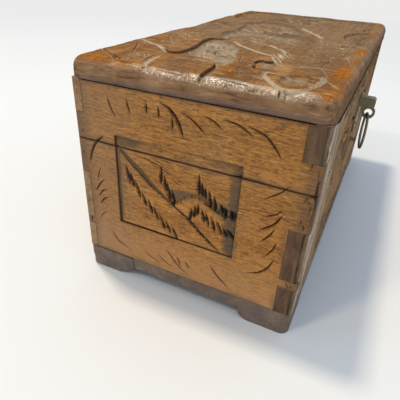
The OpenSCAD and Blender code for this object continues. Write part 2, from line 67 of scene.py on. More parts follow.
HALF_L = -end_low[0]
END_T = end_high[0] - end_low[0]
FRONT_Y, FRONT_T = front_low[1], front_high[1] - front_low[1]
BACK_Y, BACK_T = back_high[1], back_high[1] - back_low[1]
MIDDLE_Y = (FRONT_Y + BACK_Y) / 2
HALF_W = (BACK_Y - FRONT_Y) / 2
WALL_Z, BODY_Z = end_low[2], end_high[2]
LID_Z, TOP_Z = lid_end_low[2], lid_end_high[2]
TOP_T = top_high[2] - top_low[2]

CORNER_R = 3.0  # the walls' upright corners
FINGER_Z = (37.0, 43.0, 77.5, 118.0)  # the levels at which the corners' fingers change
TOP_EDGE_R = 7.0  # the lid's rounded edge
TOP_PLAN_R = 9.0  # the lid's corners, seen from above


# Arithmetic on arrays of points

def ease(x):
    """0 below 0, 1 above 1, smooth in between."""
    x = np.clip(x, 0, 1)
    return x * x * (3 - 2 * x)


def band(x, start, full, fall, end):
    """0 up to start, 1 from full to fall, and 0 again from end on."""
    return ease((x - start) / (full - start)) * ease((end - x) / (end - fall))


def curve(points, closed=False, step=1.0):
    """Points about a step apart on a smooth curve through the given ones."""
    p = np.array(points, float)
    if len(p) == 2:
        n = max(2, int(np.hypot(*(p[1] - p[0])) / step) + 1)
        return p[0] + np.linspace(0, 1, n)[:, None] * (p[1] - p[0])
    if closed:
        p = np.concatenate([p[-1:], p, p[:2]])
    else:
        p = np.concatenate([2 * p[:1] - p[1:2], p, 2 * p[-1:] - p[-2:-1]])
    out = []
    for a, b, c, d in zip(p, p[1:], p[2:], p[3:]):
        n = max(1, int(np.hypot(*(c - b)) / step))
        t = (np.arange(n) / n)[:, None]
        out.append(0.5 * (2 * b + (c - a) * t + (2 * a - 5 * b + 4 * c - d) * t ** 2
                          + (3 * b - a - 3 * c + d) * t ** 3))
    if not closed:
        out.append(p[-2:-1])
    return np.concatenate(out)


def inside(points, loop):
    """Which points lie inside a closed loop."""
    x, y = points[:, 0], points[:, 1]
    found = np.zeros(len(points), bool)
    for (ax, ay), (bx, by) in zip(loop, np.roll(loop, -1, axis=0)):
        if ay != by:
            found ^= ((ay > y) != (by > y)) & (x < (bx - ax) * (y - ay) / (by - ay) + ax)
    return found


def nearest(points, line, closed=False):
    """Distance to a polyline, the side of it (left is positive), and how far along it that is, 0 to 1."""
    ends = np.roll(line, -1, axis=0) if closed else line[1:]
    starts = line if closed else line[:-1]
    best = np.full(len(points), 1e9)
    side = np.ones(len(points))
    along = np.zeros(len(points))
    for i, (a, b) in enumerate(zip(starts, ends)):
        run = b - a
        rel = points - a
        t = np.clip(rel @ run / max(run @ run, 1e-9), 0, 1)
        gap = np.hypot(*(rel - t[:, None] * run).T)
        closer = gap < best
        best[closer] = gap[closer]
        side[closer] = np.sign(run[0] * rel[closer, 1] - run[1] * rel[closer, 0] + 1e-12)
        along[closer] = (i + t[closer]) / len(starts)
    return best, side, along


def ripple(points, size, seed):
    """Gentle random swell from -1 to 1 with waves of about the given size."""
    rng = np.random.default_rng(seed)
    total = np.zeros(len(points))
    waves = 9
    for _ in range(waves):
        turn = rng.uniform(0, 2 * math.pi)
        k = 2 * math.pi / size / rng.uniform(0.6, 1.7)
        total += np.sin(points @ np.array([math.cos(turn), math.sin(turn)]) * k + rng.uniform(0, 7))
    return total / math.sqrt(waves)

# Carving

MARKS = ("stain_and_shade", "dust", "grime_and_shade", "ground", "amber", "umber", "polish_and_highlight", "split_and_sheen")


def full_loop(loop):
    """A loop with its first point again at its end."""
    return np.concatenate([loop, loop[:1]])


def along_and_left(a, b):
    """Unit vectors from a to b and to the left of that."""
    run = (b - a) / np.hypot(*(b - a))
    return run, np.array([-run[1], run[0]])


def normals(line):
    """Unit vectors to the left of a line at each of its points."""
    run = np.gradient(line, axis=0)
    return np.stack([-run[:, 1], run[:, 0]], axis=1) / np.hypot(*run.T)[:, None]


class Field:
    """Depth and colour marks at a set of points, built up cut by cut."""

    def __init__(self, points):
        self.points = points
        self.depth = np.zeros(len(points))
        self.marks = {name: np.zeros(len(points)) for name in MARKS}

    def near(self, shape, margin):
        low, high = shape.min(0) - margin, shape.max(0) + margin
        return np.flatnonzero(np.all((self.points > low) & (self.points < high), axis=1))

    def mark(self, name, value, at=slice(None)):
        self.marks[name][at] = np.maximum(self.marks[name][at], value)

    def sink(self, at, depth):
        self.depth[at] = np.maximum(self.depth[at], depth)

    def keep(self, share):
        """Fades all that has been cut and marked so far."""
        self.depth *= share
        for name in MARKS:
            self.marks[name] *= share


class Stroke:
    """One knife cut: a V along a line, widest at belly (0 to 1 along it), steeper on one side by lean.

    A shade is painted shade: it darkens the flank that lies towards the upper right, as shade falls below an
    overhang.
    """

    def __init__(self, points, width, depth=None, belly=0.5, lean=0.0, stain_and_shade=1.0, dust=0.0, blunt=0.5,
                 shade=0.0):
        self.line = curve(points, step=1.2)
        self.width, self.belly, self.lean, self.blunt = width, belly, lean, blunt
        self.depth = 0.75 * width if depth is None else depth
        self.stain_and_shade, self.dust, self.shade = stain_and_shade, dust, shade
        run = self.line[-1] - self.line[0]
        self.shaded_side = 1 if run[0] > run[1] else -1

    def swell(self, t):
        """Share of the full width at a place along the stroke."""
        t = np.where(t < self.belly, 0.5 * t / self.belly, 1 - 0.5 * (1 - t) / (1 - self.belly))
        return np.sin(math.pi * np.clip(t, 0, 1)) ** self.blunt

    def creases(self):
        across = normals(self.line)
        half = self.width / 2 * self.swell(np.linspace(0, 1, len(self.line)))[:, None]
        left = self.line + across * half * (1 + self.lean)
        right = self.line - across * half * (1 - self.lean)
        lines = [self.line, left, right]
        if self.shade:
            lines.append((self.line + (left if self.shaded_side > 0 else right)) / 2)
        return lines

    def cut(self, field):
        at = field.near(self.line, self.width)
        if not len(at):
            return
        gap, side, along = nearest(field.points[at], self.line)
        swell = self.swell(along)
        half = self.width / 2 * swell * (1 + side * self.lean)
        share = np.clip(1 - gap / np.maximum(half, 1e-6), 0, 1)
        field.depth[at] = np.maximum(field.depth[at], 0) + self.depth * swell * share
        strength = np.minimum(1, 0.35 + swell)
        shown = ease(share / 0.35) * strength
        shaded = self.shade * (side == self.shaded_side) * ease(1.5 - np.abs(share - 0.5) / 0.3)
        # dark: stain and painted shade in the V, painted shade on the shaded flank; pale: dust, and painted
        # light where the stroke stands for a lit wall
        field.mark("stain_and_shade", np.maximum(self.stain_and_shade * shown, shaded * strength), at)
        field.mark("dust", self.dust * shown * (1 - shaded), at)


def pale(points, width, depth, dust=0.95, shade=0.8, **shape):
    """A pale stroke, dust in the carving's cuts and painted light on the lit walls of the front's cliff, dark
    on its shaded flank alone with painted shade.
    """
    return Stroke(points, width, depth=depth, stain_and_shade=0, dust=dust, shade=shade, **shape)


class Panel:
    """Sunk border bands inside a rectangle: each drops sheer at the outer edge and rises inwards.

    The bands are painted darker, less so round the lighter place, and a painted shadow runs along each sheer
    outer edge.
    """

    def __init__(self, corners, widths, depths, clean, clean_r):
        self.corners = np.array(corners, float)
        self.widths, self.depths = widths, depths
        self.clean, self.clean_r = clean, clean_r

    def sides(self):
        return zip(self.corners, np.roll(self.corners, -1, axis=0), self.widths, self.depths)

    def creases(self):
        step_in = 0.25
        loop = full_loop(self.corners)
        middle = self.corners.mean(0)
        inner = loop + (middle - loop) / np.hypot(*(middle - loop).T)[:, None] * step_in
        bands = []
        for a, b, width, _ in self.sides():
            run, left = along_and_left(a, b)
            bands.append((a + left * width, run))
        corner = []
        for (a, r), (b, s) in zip(bands[-1:] + bands[:-1], bands):
            t = np.linalg.solve(np.stack([r, -s], axis=1), b - a)[0]
            corner.append(a + r * t)
        mitres = [np.array([a, b]) for a, b in zip(self.corners, corner)]
        return [loop, inner, full_loop(np.array(corner))] + mitres

    def cut(self, field):
        sheer = 0.3
        within = inside(field.points, self.corners)
        drop = np.zeros(len(field.points))
        edge = np.full(len(field.points), 1e9)
        for a, b, width, depth in self.sides():
            run, _ = along_and_left(a, b)
            rel = field.points - a
            into = run[0] * rel[:, 1] - run[1] * rel[:, 0]
            drop = np.maximum(drop, depth * np.clip(1 - into / width, 0, 1))
            edge = np.minimum(edge, into)
        drop *= np.clip(edge / sheer, 0, 1) * within
        field.depth = np.maximum(field.depth, drop)
        at = np.flatnonzero(within)
        rough = 0.5 + 0.5 * ripple(field.points[at], size=14, seed=5)
        from_clean = np.hypot(*(field.points[at] - self.clean).T) / self.clean_r
        # the sunk bands painted darker, less so round the lighter place
        darkening = ease(drop[at] / 0.5) * (0.55 + 0.45 * rough) * (0.2 + 0.8 * ease(from_clean - 0.4))
        field.mark("grime_and_shade", darkening, at)
        # painted shadow along the sheer outer edges
        field.mark("stain_and_shade", 0.95 * ease(1.6 - edge[at] / 0.7), at)


class Slope:
    """Ground pared down towards a line from a far edge, so that what lies before the line stands out."""

    def __init__(self, line, far, depth):
        self.line = curve(line)
        self.far = np.array(far, float)
        self.depth = depth
        self.loop = np.concatenate([self.line, self.far])

    def creases(self):
        return [full_loop(self.loop)]

    def cut(self, field):
        at = field.near(self.loop, 0)
        at = at[inside(field.points[at], self.loop)]
        near_gap, _, _ = nearest(field.points[at], self.line)
        far_gap, _, _ = nearest(field.points[at], self.far)
        share = far_gap / np.maximum(near_gap + far_gap, 1e-6)
        sheer = np.clip(near_gap / 0.3, 0, 1)
        field.sink(at, self.depth * share * sheer)
        # painted shade over the pared slope, and darker along the line at its foot
        field.mark("grime_and_shade", 0.9 * ease(share / 0.5), at)
        field.mark("stain_and_shade", 0.5 * ease(1.4 - near_gap / 0.8), at)


class Groove:
    """A valley between raised shapes: a steep wall to the left of its line, a long slope to the right."""

    def __init__(self, points, depth=2.2, steep=1.2, slope=6.0, dust=0.9, stain_and_shade=0.55, climb=0.3,
                 ends=(0.12, 0.12)):
        self.line = curve(points, step=1.5)
        self.depth, self.steep, self.slope = depth, steep, slope
        self.dust, self.stain_and_shade, self.climb, self.ends = dust, stain_and_shade, climb, ends

    def creases(self):
        across = normals(self.line)
        return [self.line, self.line + across * self.steep / 2, self.line + across * self.steep]

    def cut(self, field):
        at = field.near(self.line, max(self.steep, self.slope))
        if not len(at):
            return
        gap, side, along = nearest(field.points[at], self.line)
        shown = ease(along / self.ends[0]) * ease((1 - along) / self.ends[1])
        wall = np.clip(1 - gap / self.steep, 0, 1)
        bank = np.clip(1 - gap / self.slope, 0, 1) ** 1.7
        drop = self.depth * shown * np.where(side > 0, wall, bank)
        deeper = drop > field.depth[at]
        field.sink(at, drop)
        foot = ease(1.6 - gap / np.where(side > 0, 0.3 + self.climb * self.steep, 0.75))
        field.mark("dust", self.dust * shown * foot * deeper, at)
        # painted shade down the steep wall, clear of the dust at its foot
        dark = (side > 0) * ease(1.5 - np.abs(gap / self.steep - 0.6) / 0.4)
        field.mark("stain_and_shade", self.stain_and_shade * shown * dark * (gap < self.steep) * (wall > 0.02) * (1 - foot), at)


class Shape:
    """A closed smooth outline. Its carve says what happens inside it."""

    def __init__(self, points):
        self.loop = curve(points, closed=True, step=1.5)

    def creases(self):
        return [full_loop(self.loop)]

    def cut(self, field):
        at = field.near(self.loop, 0.5)
        at = at[inside(field.points[at], self.loop)]
        if len(at):
            gap, _, _ = nearest(field.points[at], self.loop, closed=True)
            self.carve(field, at, gap)


class Hollow(Shape):
    """A closed shape sunk below the surface, with pale dusty ground."""

    def __init__(self, points, depth=2.0, wall=1.5, ground=1.0, stain_and_shade=0.4):
        super().__init__(points)
        self.depth, self.wall, self.ground, self.stain_and_shade = depth, wall, ground, stain_and_shade

    def carve(self, field, at, gap):
        uneven = 1 + 0.14 * ripple(field.points[at], size=5, seed=11)
        field.sink(at, self.depth * uneven * ease(gap / self.wall))
        field.mark("ground", self.ground * ease(gap / self.wall), at)
        # painted shade down the hollow's wall
        field.mark("stain_and_shade", self.stain_and_shade * ease(1 - gap / self.wall), at)


class Lobe(Shape):
    """A closed shape left standing in sunk ground, with a rounded shoulder and a slightly domed top."""

    def __init__(self, points, shoulder=1.8, level=0.3, dome=0.5):
        super().__init__(points)
        self.shoulder, self.level, self.dome = shoulder, level, dome

    def carve(self, field, at, gap):
        rise = ease(0.15 + 0.85 * gap / self.shoulder)
        top = self.level + self.dome * (1 - ease(gap / 10))
        field.depth[at] = np.minimum(field.depth[at], field.depth[at] * (1 - rise) + top * rise)
        for name in ("ground", "dust"):
            field.marks[name][at] *= 1 - rise
        # painted shade round the lobe's foot
        field.mark("stain_and_shade", 0.55 * ease(1.3 - gap / 0.7), at)


class Spot:
    """A soft oval patch where the varnish lies thick and shows amber, or another mark, with no cut."""

    def __init__(self, x, y, across, along, strength=0.9, name="amber"):
        self.line = np.array([(x, y)], float)
        self.size = np.array([across, along], float)
        self.strength, self.name = strength, name

    def creases(self):
        return []

    def cut(self, field):
        gap = np.hypot(*((field.points - self.line[0]) / self.size).T)
        gap += 0.25 * ripple(field.points, size=9, seed=17)
        field.mark(self.name, self.strength * ease(1.6 - 1.3 * gap))


# Ornament made of such cuts

def many(make, rows):
    """The cuts of each row of a table, one after the other."""
    return [cut for row in rows for cut in make(*row)]


def rock(points, arcs, start, stop, **shape):
    """A lobe with strata: arcs that repeat a stretch of its outline, one inside the other."""
    loop = curve(points, closed=True, step=2.0)
    middle = loop.mean(0)
    part = loop[int(start * len(loop)):int(stop * len(loop))]
    cuts = [Lobe(points, **shape)]
    for i in range(arcs):
        share = 0.84 - 0.68 * i / arcs
        trim = i % 2 + 1
        line = middle + (part - middle) * share
        cuts.append(Stroke(line[trim:-trim:3], 1.3, depth=0.6, belly=0.4, lean=0.4, stain_and_shade=0.4, dust=0.35))
    return cuts


def pine(x, y, radius):
    """A cluster of pine needles: a scalloped lobe with strokes spreading from its foot."""
    needles, scallops = 11, 5
    turn = np.radians(np.arange(0, 360, 24))
    edge = radius * (1 + 0.09 * np.cos(scallops * turn))
    cuts = [Lobe(np.stack([x + edge * np.cos(turn), y + 0.8 * edge * np.sin(turn)], axis=1), shoulder=1.3)]
    foot = np.array([x, y - 0.55 * radius])
    for a in np.radians(np.linspace(12, 168, needles)):
        way = np.array([math.cos(a), math.sin(a)])
        cuts.append(Stroke([foot + way * 0.3 * radius, foot + way * (0.95 + 0.3 * way[1]) * radius], 1.2,
                           depth=0.6, belly=0.6, stain_and_shade=0.45, dust=0.25))
    return cuts


def wave(x, y, radius):
    """One scallop of a row of waves, with two arcs in it."""
    turn = np.radians(np.arange(0, 181, 20))
    half = np.stack([np.cos(turn), np.sin(turn)], axis=1)
    foot = 4
    cuts = [Lobe(np.array([x, y]) + np.concatenate([half * radius, [(-radius, -foot), (radius, -foot)]]),
                 shoulder=1.2)]
    for share in (0.7, 0.4):
        cuts.append(Stroke(np.array([x, y]) + half * radius * share, 1.1, depth=0.6, stain_and_shade=0.4, dust=0.3))
    return cuts


def pavilion(x, low, high):
    """A garden pavilion left standing: a swept roof over posts, about x, from low and so high."""
    eaves = low + 0.52 * high
    roof = [(-22, 0), (-14, 4), (-6, 11), (0, 12.5), (6, 11), (14, 4), (22, 0), (12, 0.5), (0, 1.2),
            (-12, 0.5)]
    room = [(-17, low + 1), (-17.5, eaves - 0.5), (17.5, eaves - 0.5), (16.5, low), (0, low - 1)]
    cuts = [Lobe([(x + dx, eaves + dz) for dx, dz in roof], shoulder=1.0),
            Lobe([(x + dx, z) for dx, z in room], shoulder=1.0, level=0.8)]
    for shift in (-14, -7, 0, 7, 14):
        cuts.append(Stroke([(x + shift, low + 2), (x + shift, eaves - 1)], 2.4, depth=1.1, stain_and_shade=0.6))
    for shift in (-13, -6.5, 0, 6.5, 13):
        cuts.append(Stroke([(x + shift, eaves + 2.5), (x + 0.45 * shift, eaves + 9.5)], 1.0, depth=0.5,
                           stain_and_shade=0.4))
    return cuts


def resample(points, count):
    """Evenly indexed points on the smooth curve through the given ones."""
    line = curve(points)
    t = np.linspace(0, 1, count)
    return np.stack([np.interp(t, np.linspace(0, 1, len(line)), line[:, i]) for i in (0, 1)], axis=1)


def fan(first, last, count, width, seed, dust=0.6, stain_and_shade=0.0, depth=None):
    """A family of strokes from one guide line to another, each a little uneven."""
    rng = np.random.default_rng(seed)
    a, b = resample(first, 12), resample(last, 12)
    strokes = []
    for share in (np.arange(count) + 0.5) / count:
        line = a + (b - a) * (share + rng.uniform(-0.3, 0.3) / count)
        start, stop = rng.integers(0, 4), rng.integers(9, 13)
        strokes.append(Stroke(line[start:stop][::2], width * rng.uniform(0.7, 1.3), depth=depth,
                              belly=rng.uniform(0.3, 0.7), lean=rng.uniform(-0.4, 0.4), dust=dust,
                              stain_and_shade=stain_and_shade))
    return strokes


def pecks(loop, count, length, width, turn, seed, dust=0.7, stain_and_shade=0.0, depth=None):
    """Short uneven chips scattered over a closed shape, lying about one way, in degrees."""
    rng = np.random.default_rng(seed)
    loop = np.array(loop, float)
    low, high = loop.min(0), loop.max(0)
    strokes = []
    while len(strokes) < count:
        at = rng.uniform(low, high)
        if inside(at[None], loop)[0]:
            a = math.radians(turn + rng.uniform(-35, 35))
            half = np.array([math.cos(a), math.sin(a)]) * length * rng.uniform(0.3, 0.7)
            strokes.append(Stroke([at - half, at + half], width * rng.uniform(0.7, 1.3), depth=depth,
                                  lean=rng.uniform(-0.6, 0.6), dust=dust, stain_and_shade=stain_and_shade))
    return strokes


# Meshes

# Material slots of a carved board, by the kind of its faces
CARVED, BACK, END_GRAIN_WALL, LONG_WALL = range(4)


def subdivide(line, step):
    """An open line with its sides divided into stretches of at most a step."""
    out = []
    for a, b in zip(line, line[1:]):
        n = max(1, math.ceil(np.hypot(*(b - a)) / step))
        out.append(a + np.arange(n)[:, None] / n * (b - a))
    return np.concatenate(out + [line[-1:]])


def triangulate(loop, lines, filling):
    """Triangles that fill a loop and keep to the given lines: (points, index triples)."""
    points = [loop]
    edges = [(i, (i + 1) % len(loop)) for i in range(len(loop))]
    count = len(loop)
    for line in lines:
        edges += [(count + i, count + i + 1) for i in range(len(line) - 1)]
        points.append(line)
        count += len(line)
    points.append(filling)
    coords = [Vector(p) for p in np.concatenate(points).tolist()]
    made = geometry.delaunay_2d_cdt(coords, edges, [], 0, 1e-4, False)
    flat = np.array([(v[0], v[1]) for v in made[0]])
    tri = np.array(made[2])
    a, b, c = flat[tri[:, 0]], flat[tri[:, 1]], flat[tri[:, 2]]
    area = (b - a)[:, 0] * (c - a)[:, 1] - (b - a)[:, 1] * (c - a)[:, 0]
    tri[area < 0] = tri[area < 0][:, ::-1]
    keep = inside((a + b + c) / 3, loop) & (np.abs(area) > 1e-9)
    return flat, tri[keep]


def grid(loop, lines, step):
    """Staggered points inside a loop, clear of its side and of the given lines."""
    low, high = loop.min(0), loop.max(0)
    row_pitch = 0.87 * step
    clear = 0.45 * step
    rows = np.arange(low[1] + step / 2, high[1], row_pitch)
    cols = np.arange(low[0] + step / 2, high[0], step)
    points = np.array([(x + (j % 2) * step / 2, y) for j, y in enumerate(rows) for x in cols])
    points = points[inside(points, loop)]
    taken = np.concatenate([subdivide(line, clear) for line in [full_loop(loop)] + lines])
    tree = kdtree.KDTree(len(taken))
    for i, (x, y) in enumerate(taken.tolist()):
        tree.insert((x, y, 0), i)
    tree.balance()
    return points[[tree.find((x, y, 0))[2] > clear for x, y in points.tolist()]]


def rim_of(tri):
    """The outer edge of a mesh of triangles, as indices in order."""
    one_way = {(a, b) for t in tri.tolist() for a, b in ((t[0], t[1]), (t[1], t[2]), (t[2], t[0]))}
    follow = dict([e for e in one_way if (e[1], e[0]) not in one_way])
    ring = [min(follow)]
    while follow[ring[-1]] != ring[0]:
        ring.append(follow[ring[-1]])
    return ring


def closed_board(name, loop, lines, carve, place, thickness, step, materials, wall_kind):
    """A board whose face is carved: the face, the walls round it, and the flat back."""
    loop = subdivide(full_loop(np.array(loop, float)), step)[:-1]
    flat, tri = triangulate(loop, lines, grid(loop, lines, step))
    used, tri = np.unique(tri, return_inverse=True)
    flat, tri = flat[used], tri.reshape(-1, 3)
    field = Field(flat)
    carve(field)
    depth = np.clip(field.depth, 0, 0.8 * thickness)

    ring = rim_of(tri)
    count = len(flat)
    _, back_tri = triangulate(flat[ring], [], np.zeros((0, 2)))
    front = place(*flat.T, depth)
    back = place(*flat[ring].T, np.full(len(ring), thickness))
    faces = tri.tolist()
    kinds = [CARVED] * len(faces)
    for i, a in enumerate(ring):
        j = (i + 1) % len(ring)
        faces.append((a, count + i, count + j, ring[j]))
        kinds.append(wall_kind(flat[a], flat[ring[j]]))
    for t in back_tri.tolist():
        faces.append(tuple(count + i for i in reversed(t)))
        kinds.append(BACK)
    mesh = bpy.data.meshes.new(name)
    mesh.from_pydata((np.concatenate([front, back]) * MM).tolist(), [], faces)
    for mark, values in field.marks.items():
        layer = mesh.attributes.new(mark, "FLOAT", "POINT")
        layer.data.foreach_set("value", np.concatenate([values, np.zeros(len(ring))]).astype(np.float32))
    for material in materials:
        mesh.materials.append(material)
    mesh.polygons.foreach_set("material_index", kinds)
    mesh.shade_smooth()
    mesh.set_sharp_from_angle(angle=math.radians(38))
    obj = bpy.data.objects.new(name, mesh)
    bpy.context.scene.collection.objects.link(obj)
    return obj


def wall_by_direction(a, b):
    """Walls that close the ends of the grain show end grain; the others show long grain."""
    return END_GRAIN_WALL if abs(b[0] - a[0]) < 0.1 else LONG_WALL


def round_over(field, half):
    """Rounds the upright corners at p = -half and p = half."""
    past = np.clip(np.abs(field.points[:, 0]) - (half - CORNER_R), 0, CORNER_R)
    field.depth = np.maximum(field.depth, CORNER_R - np.sqrt(np.maximum(CORNER_R ** 2 - past ** 2, 0)))


def corner_lines(low, high, half):
    """Upright lines on the rounded corners, closer where they curve most."""
    lines = []
    for side in (-1, 1):
        for turn in (0, 22, 42, 60, 75):
            p = side * (half - CORNER_R + CORNER_R * math.sin(math.radians(turn)))
            lines.append(np.array([(p, low), (p, high)]))
    return lines


def corner_chips(at, seed):
    """Small knocks down an upright corner."""
    left, right, low, high = at - 4.5, at + 4.5, WALL_Z + 4, TOP_Z - 2
    strip = [(left, low), (right, low), (right, high), (left, high)]
    return pecks(strip, count=18, length=4.0, width=1.8, turn=85, seed=seed, dust=0, stain_and_shade=0.3, depth=0.9)


def from_edge(field, loop):
    """How far the field's points are from a board's outline."""
    gap, _, _ = nearest(field.points, loop, closed=True)
    return gap


def from_seam(field):
    """How far the field's points are from the saw cut between body and lid."""
    q = field.points[:, 1]
    return np.minimum(np.abs(q - BODY_Z), np.abs(q - LID_Z))


def wear(field, loop):
    """Softens the arrises all round a board."""
    radius = 0.5
    into = np.clip(from_edge(field, loop), 0, radius)
    field.depth += radius - np.sqrt(np.maximum(radius ** 2 - (radius - into) ** 2, 0))


def darken_joints(field, loop):
    """Dirt and varnish caught in the joints round a board, and painted shade of the gap along the saw cut,
    where it is darkest.
    """
    field.mark("stain_and_shade", 0.75 * ease(1.1 - from_edge(field, loop) / 0.45))
    field.mark("stain_and_shade", ease(1.3 - from_seam(field) / 0.34))


def inset(loop, by):
    """A loop with square corners, moved inwards."""
    before, after = np.roll(loop, 1, axis=0), np.roll(loop, -1, axis=0)

    def inward(a, b):
        run = (b - a) / np.hypot(*(b - a).T)[:, None]
        return np.stack([-run[:, 1], run[:, 0]], axis=1)

    return loop + by * (inward(before, loop) + inward(loop, after))


def board_lines(cuts, loop, low, high, half):
    """Lines that a board's mesh keeps to: creases of the cuts near it, rounded corners, worn edges."""
    lines = []
    for cut in cuts:
        for line in cut.creases():
            if line[:, 1].max() > low - 1 and line[:, 1].min() < high + 1:
                lines.append(line)
    lines += corner_lines(low, high, half)
    return lines + [full_loop(inset(loop, by)) for by in (0.15, 0.5)]


def fingers(low, high):
    """Stretches of a corner between two levels: foot, head, and whether the long board fills it."""
    steps = [low] + [z for z in FINGER_Z if low < z < high] + [high]
    for a, b in zip(steps, steps[1:]):
        mid = (a + b) / 2
        yield a, b, mid < FINGER_Z[0] or FINGER_Z[1] < mid < FINGER_Z[2] or mid > FINGER_Z[3]


# Node materials

def linear(r, g, b):
    """A colour written as it looks, 0 to 255, as linear light."""
    light = [c / 255 / 12.92 if c <= 10 else ((c / 255 + 0.055) / 1.055) ** 2.4 for c in (r, g, b)]
    return (*light, 1.0)


class Paint:
    """A material and short ways to add nodes to it."""

    def __init__(self, name):
        self.material = bpy.data.materials.new(name)
        self.material.use_nodes = True
        self.tree = self.material.node_tree
        self.shader = self.tree.nodes["Principled BSDF"]
        self.place = self.add("ShaderNodeTexCoord").outputs["Object"]

    def put(self, node, key, value):
        """Links a socket to a node's input, or sets the input to a plain value."""
        if isinstance(value, bpy.types.NodeSocket):
            self.tree.links.new(value, node.inputs[key])
        else:
            node.inputs[key].default_value = value

    def add(self, kind, inputs=None, **settings):
        node = self.tree.nodes.new(kind)
        for key, value in settings.items():
            setattr(node, key, value)
        for key, value in (inputs or {}).items():
            self.put(node, key, value)
        return node

    def scaled(self, x, y, z):
        node = self.add("ShaderNodeVectorMath", {0: self.place, 1: (x, y, z)}, operation="MULTIPLY")
        return node.outputs[0]

    def noise(self, vector, scale, detail=4.0, roughness=0.55, distortion=0.0):
        node = self.add("ShaderNodeTexNoise", {"Vector": vector, "Scale": scale, "Detail": detail,
                                               "Roughness": roughness, "Distortion": distortion})
        return node.outputs["Fac"]

    def fit(self, value, low, high, to_low=0.0, to_high=1.0):
        node = self.add("ShaderNodeMapRange", {"Value": value, "From Min": low, "From Max": high,
                                               "To Min": to_low, "To Max": to_high})
        return node.outputs["Result"]

    def math(self, operation, a, b=0.0):
        return self.add("ShaderNodeMath", {0: a, 1: b}, operation=operation).outputs[0]

    def times(self, a, b):
        return self.math("MULTIPLY", a, b)

    def mark(self, name):
        return self.add("ShaderNodeAttribute", attribute_name=name).outputs["Fac"]

    def axis(self, index):
        return self.add("ShaderNodeSeparateXYZ", {0: self.place}).outputs[index]

    def mix(self, share, a, b):
        """Between two colours, each a socket or 0 to 255."""
        a, b = (c if isinstance(c, bpy.types.NodeSocket) else linear(*c) for c in (a, b))
        return self.add("ShaderNodeMix", {0: share, 6: a, 7: b}, data_type="RGBA").outputs[2]

    def cloud(self, value, dark, light):
        """Between two colours, as a noise goes."""
        return self.mix(self.fit(value, 0.35, 0.65), dark, light)

    def layers(self, colour, *rows):
        """Lays colours over a colour. A row is (value, where none shows, where most shows, most, colour)
        or (mark, strength, colour).
        """
        for *how, top in rows:
            if len(how) == 2:
                share = self.times(self.mark(how[0]), how[1])
            else:
                value, none, full, most = how
                share = self.fit(value, none, full, 0, most)
            colour = self.mix(share, colour, top)
        return colour

    def finish(self, colour, roughness, bump=None, strength=0.3, distance=0.0004, **sockets):
        self.put(self.shader, "Base Color", colour)
        self.put(self.shader, "Roughness", roughness)
        if bump is not None:
            bumps = self.add("ShaderNodeBump", {"Height": bump, "Strength": strength, "Distance": distance})
            for key in ("Normal", "Coat Normal"):
                self.put(self.shader, key, bumps.outputs[0])
        for key, value in sockets.items():
            self.put(self.shader, key.replace("_", " "), value)
        return self.material


# Near black of stains, and of painted shade in cuts and down walls
STAIN_AND_SHADE = (38, 27, 20)
# Grey-brown of dirt, and of painted shade on pared slopes
GRIME_AND_SHADE = (92, 74, 55)


def grain(paint, along):
    """Streaks, pores and broad bands of grain along the x or the y axis."""
    stretch = {"x": (0.06, 1, 1), "y": (1, 0.06, 1)}[along]
    pore = {"x": (0.16, 1, 1), "y": (1, 0.16, 1)}[along]
    bands = paint.noise(paint.scaled(*stretch), 70, 3, 0.5, 0.6)
    streaks = paint.noise(paint.scaled(*stretch), 520, 4, 0.6, 0.3)
    pores = paint.noise(paint.scaled(*pore), 1500, 2, 0.5)
    return bands, streaks, pores


def end_wood():
    paint = Paint("end_wood_varnished")
    bands, streaks, pores = grain(paint, "y")
    tint = paint.noise(paint.place, 22, 3)
    flecks = paint.noise(paint.scaled(1, 0.12, 1), 1000, 2, 0.5)
    mottle = paint.noise(paint.scaled(1, 0.5, 1), 820, 3, 0.65)
    colour = paint.layers(
        paint.cloud(bands, (160, 103, 44), (188, 126, 58)),
        (tint, 0.45, 0.7, 0.7, (160, 114, 66)),
        (streaks, 0.45, 0.75, 0.6, (130, 80, 34)),
        (pores, 0.56, 0.68, 0.75, (96, 62, 32)),
        (flecks, 0.55, 0.66, 0.7, (92, 58, 28)),
        (flecks, 0.42, 0.3, 0.6, (214, 152, 74)),
        (mottle, 0.52, 0.64, 0.45, (206, 140, 56)),
        (mottle, 0.46, 0.36, 0.45, (116, 82, 54)),
        # painted light thrown up from the floor makes the foot paler; greyer towards the back
        (paint.axis(2), 0.055, 0.02, 0.55, (190, 140, 92)),
        (paint.axis(1), 0.02, 0.08, 0.45, (156, 122, 90)),
        ("grime_and_shade", 0.75, GRIME_AND_SHADE),
        ("umber", paint.fit(mottle, 0.38, 0.58, 0.5, 1.0), (96, 82, 60)),
        ("dust", 0.85, (96, 86, 58)),
        ("stain_and_shade", 0.95, STAIN_AND_SHADE))
    rough = paint.fit(streaks, 0.3, 0.7, 0.42, 0.58)
    return paint.finish(colour, rough, pores, 0.3, 0.0003, Specular_IOR_Level=0.16)


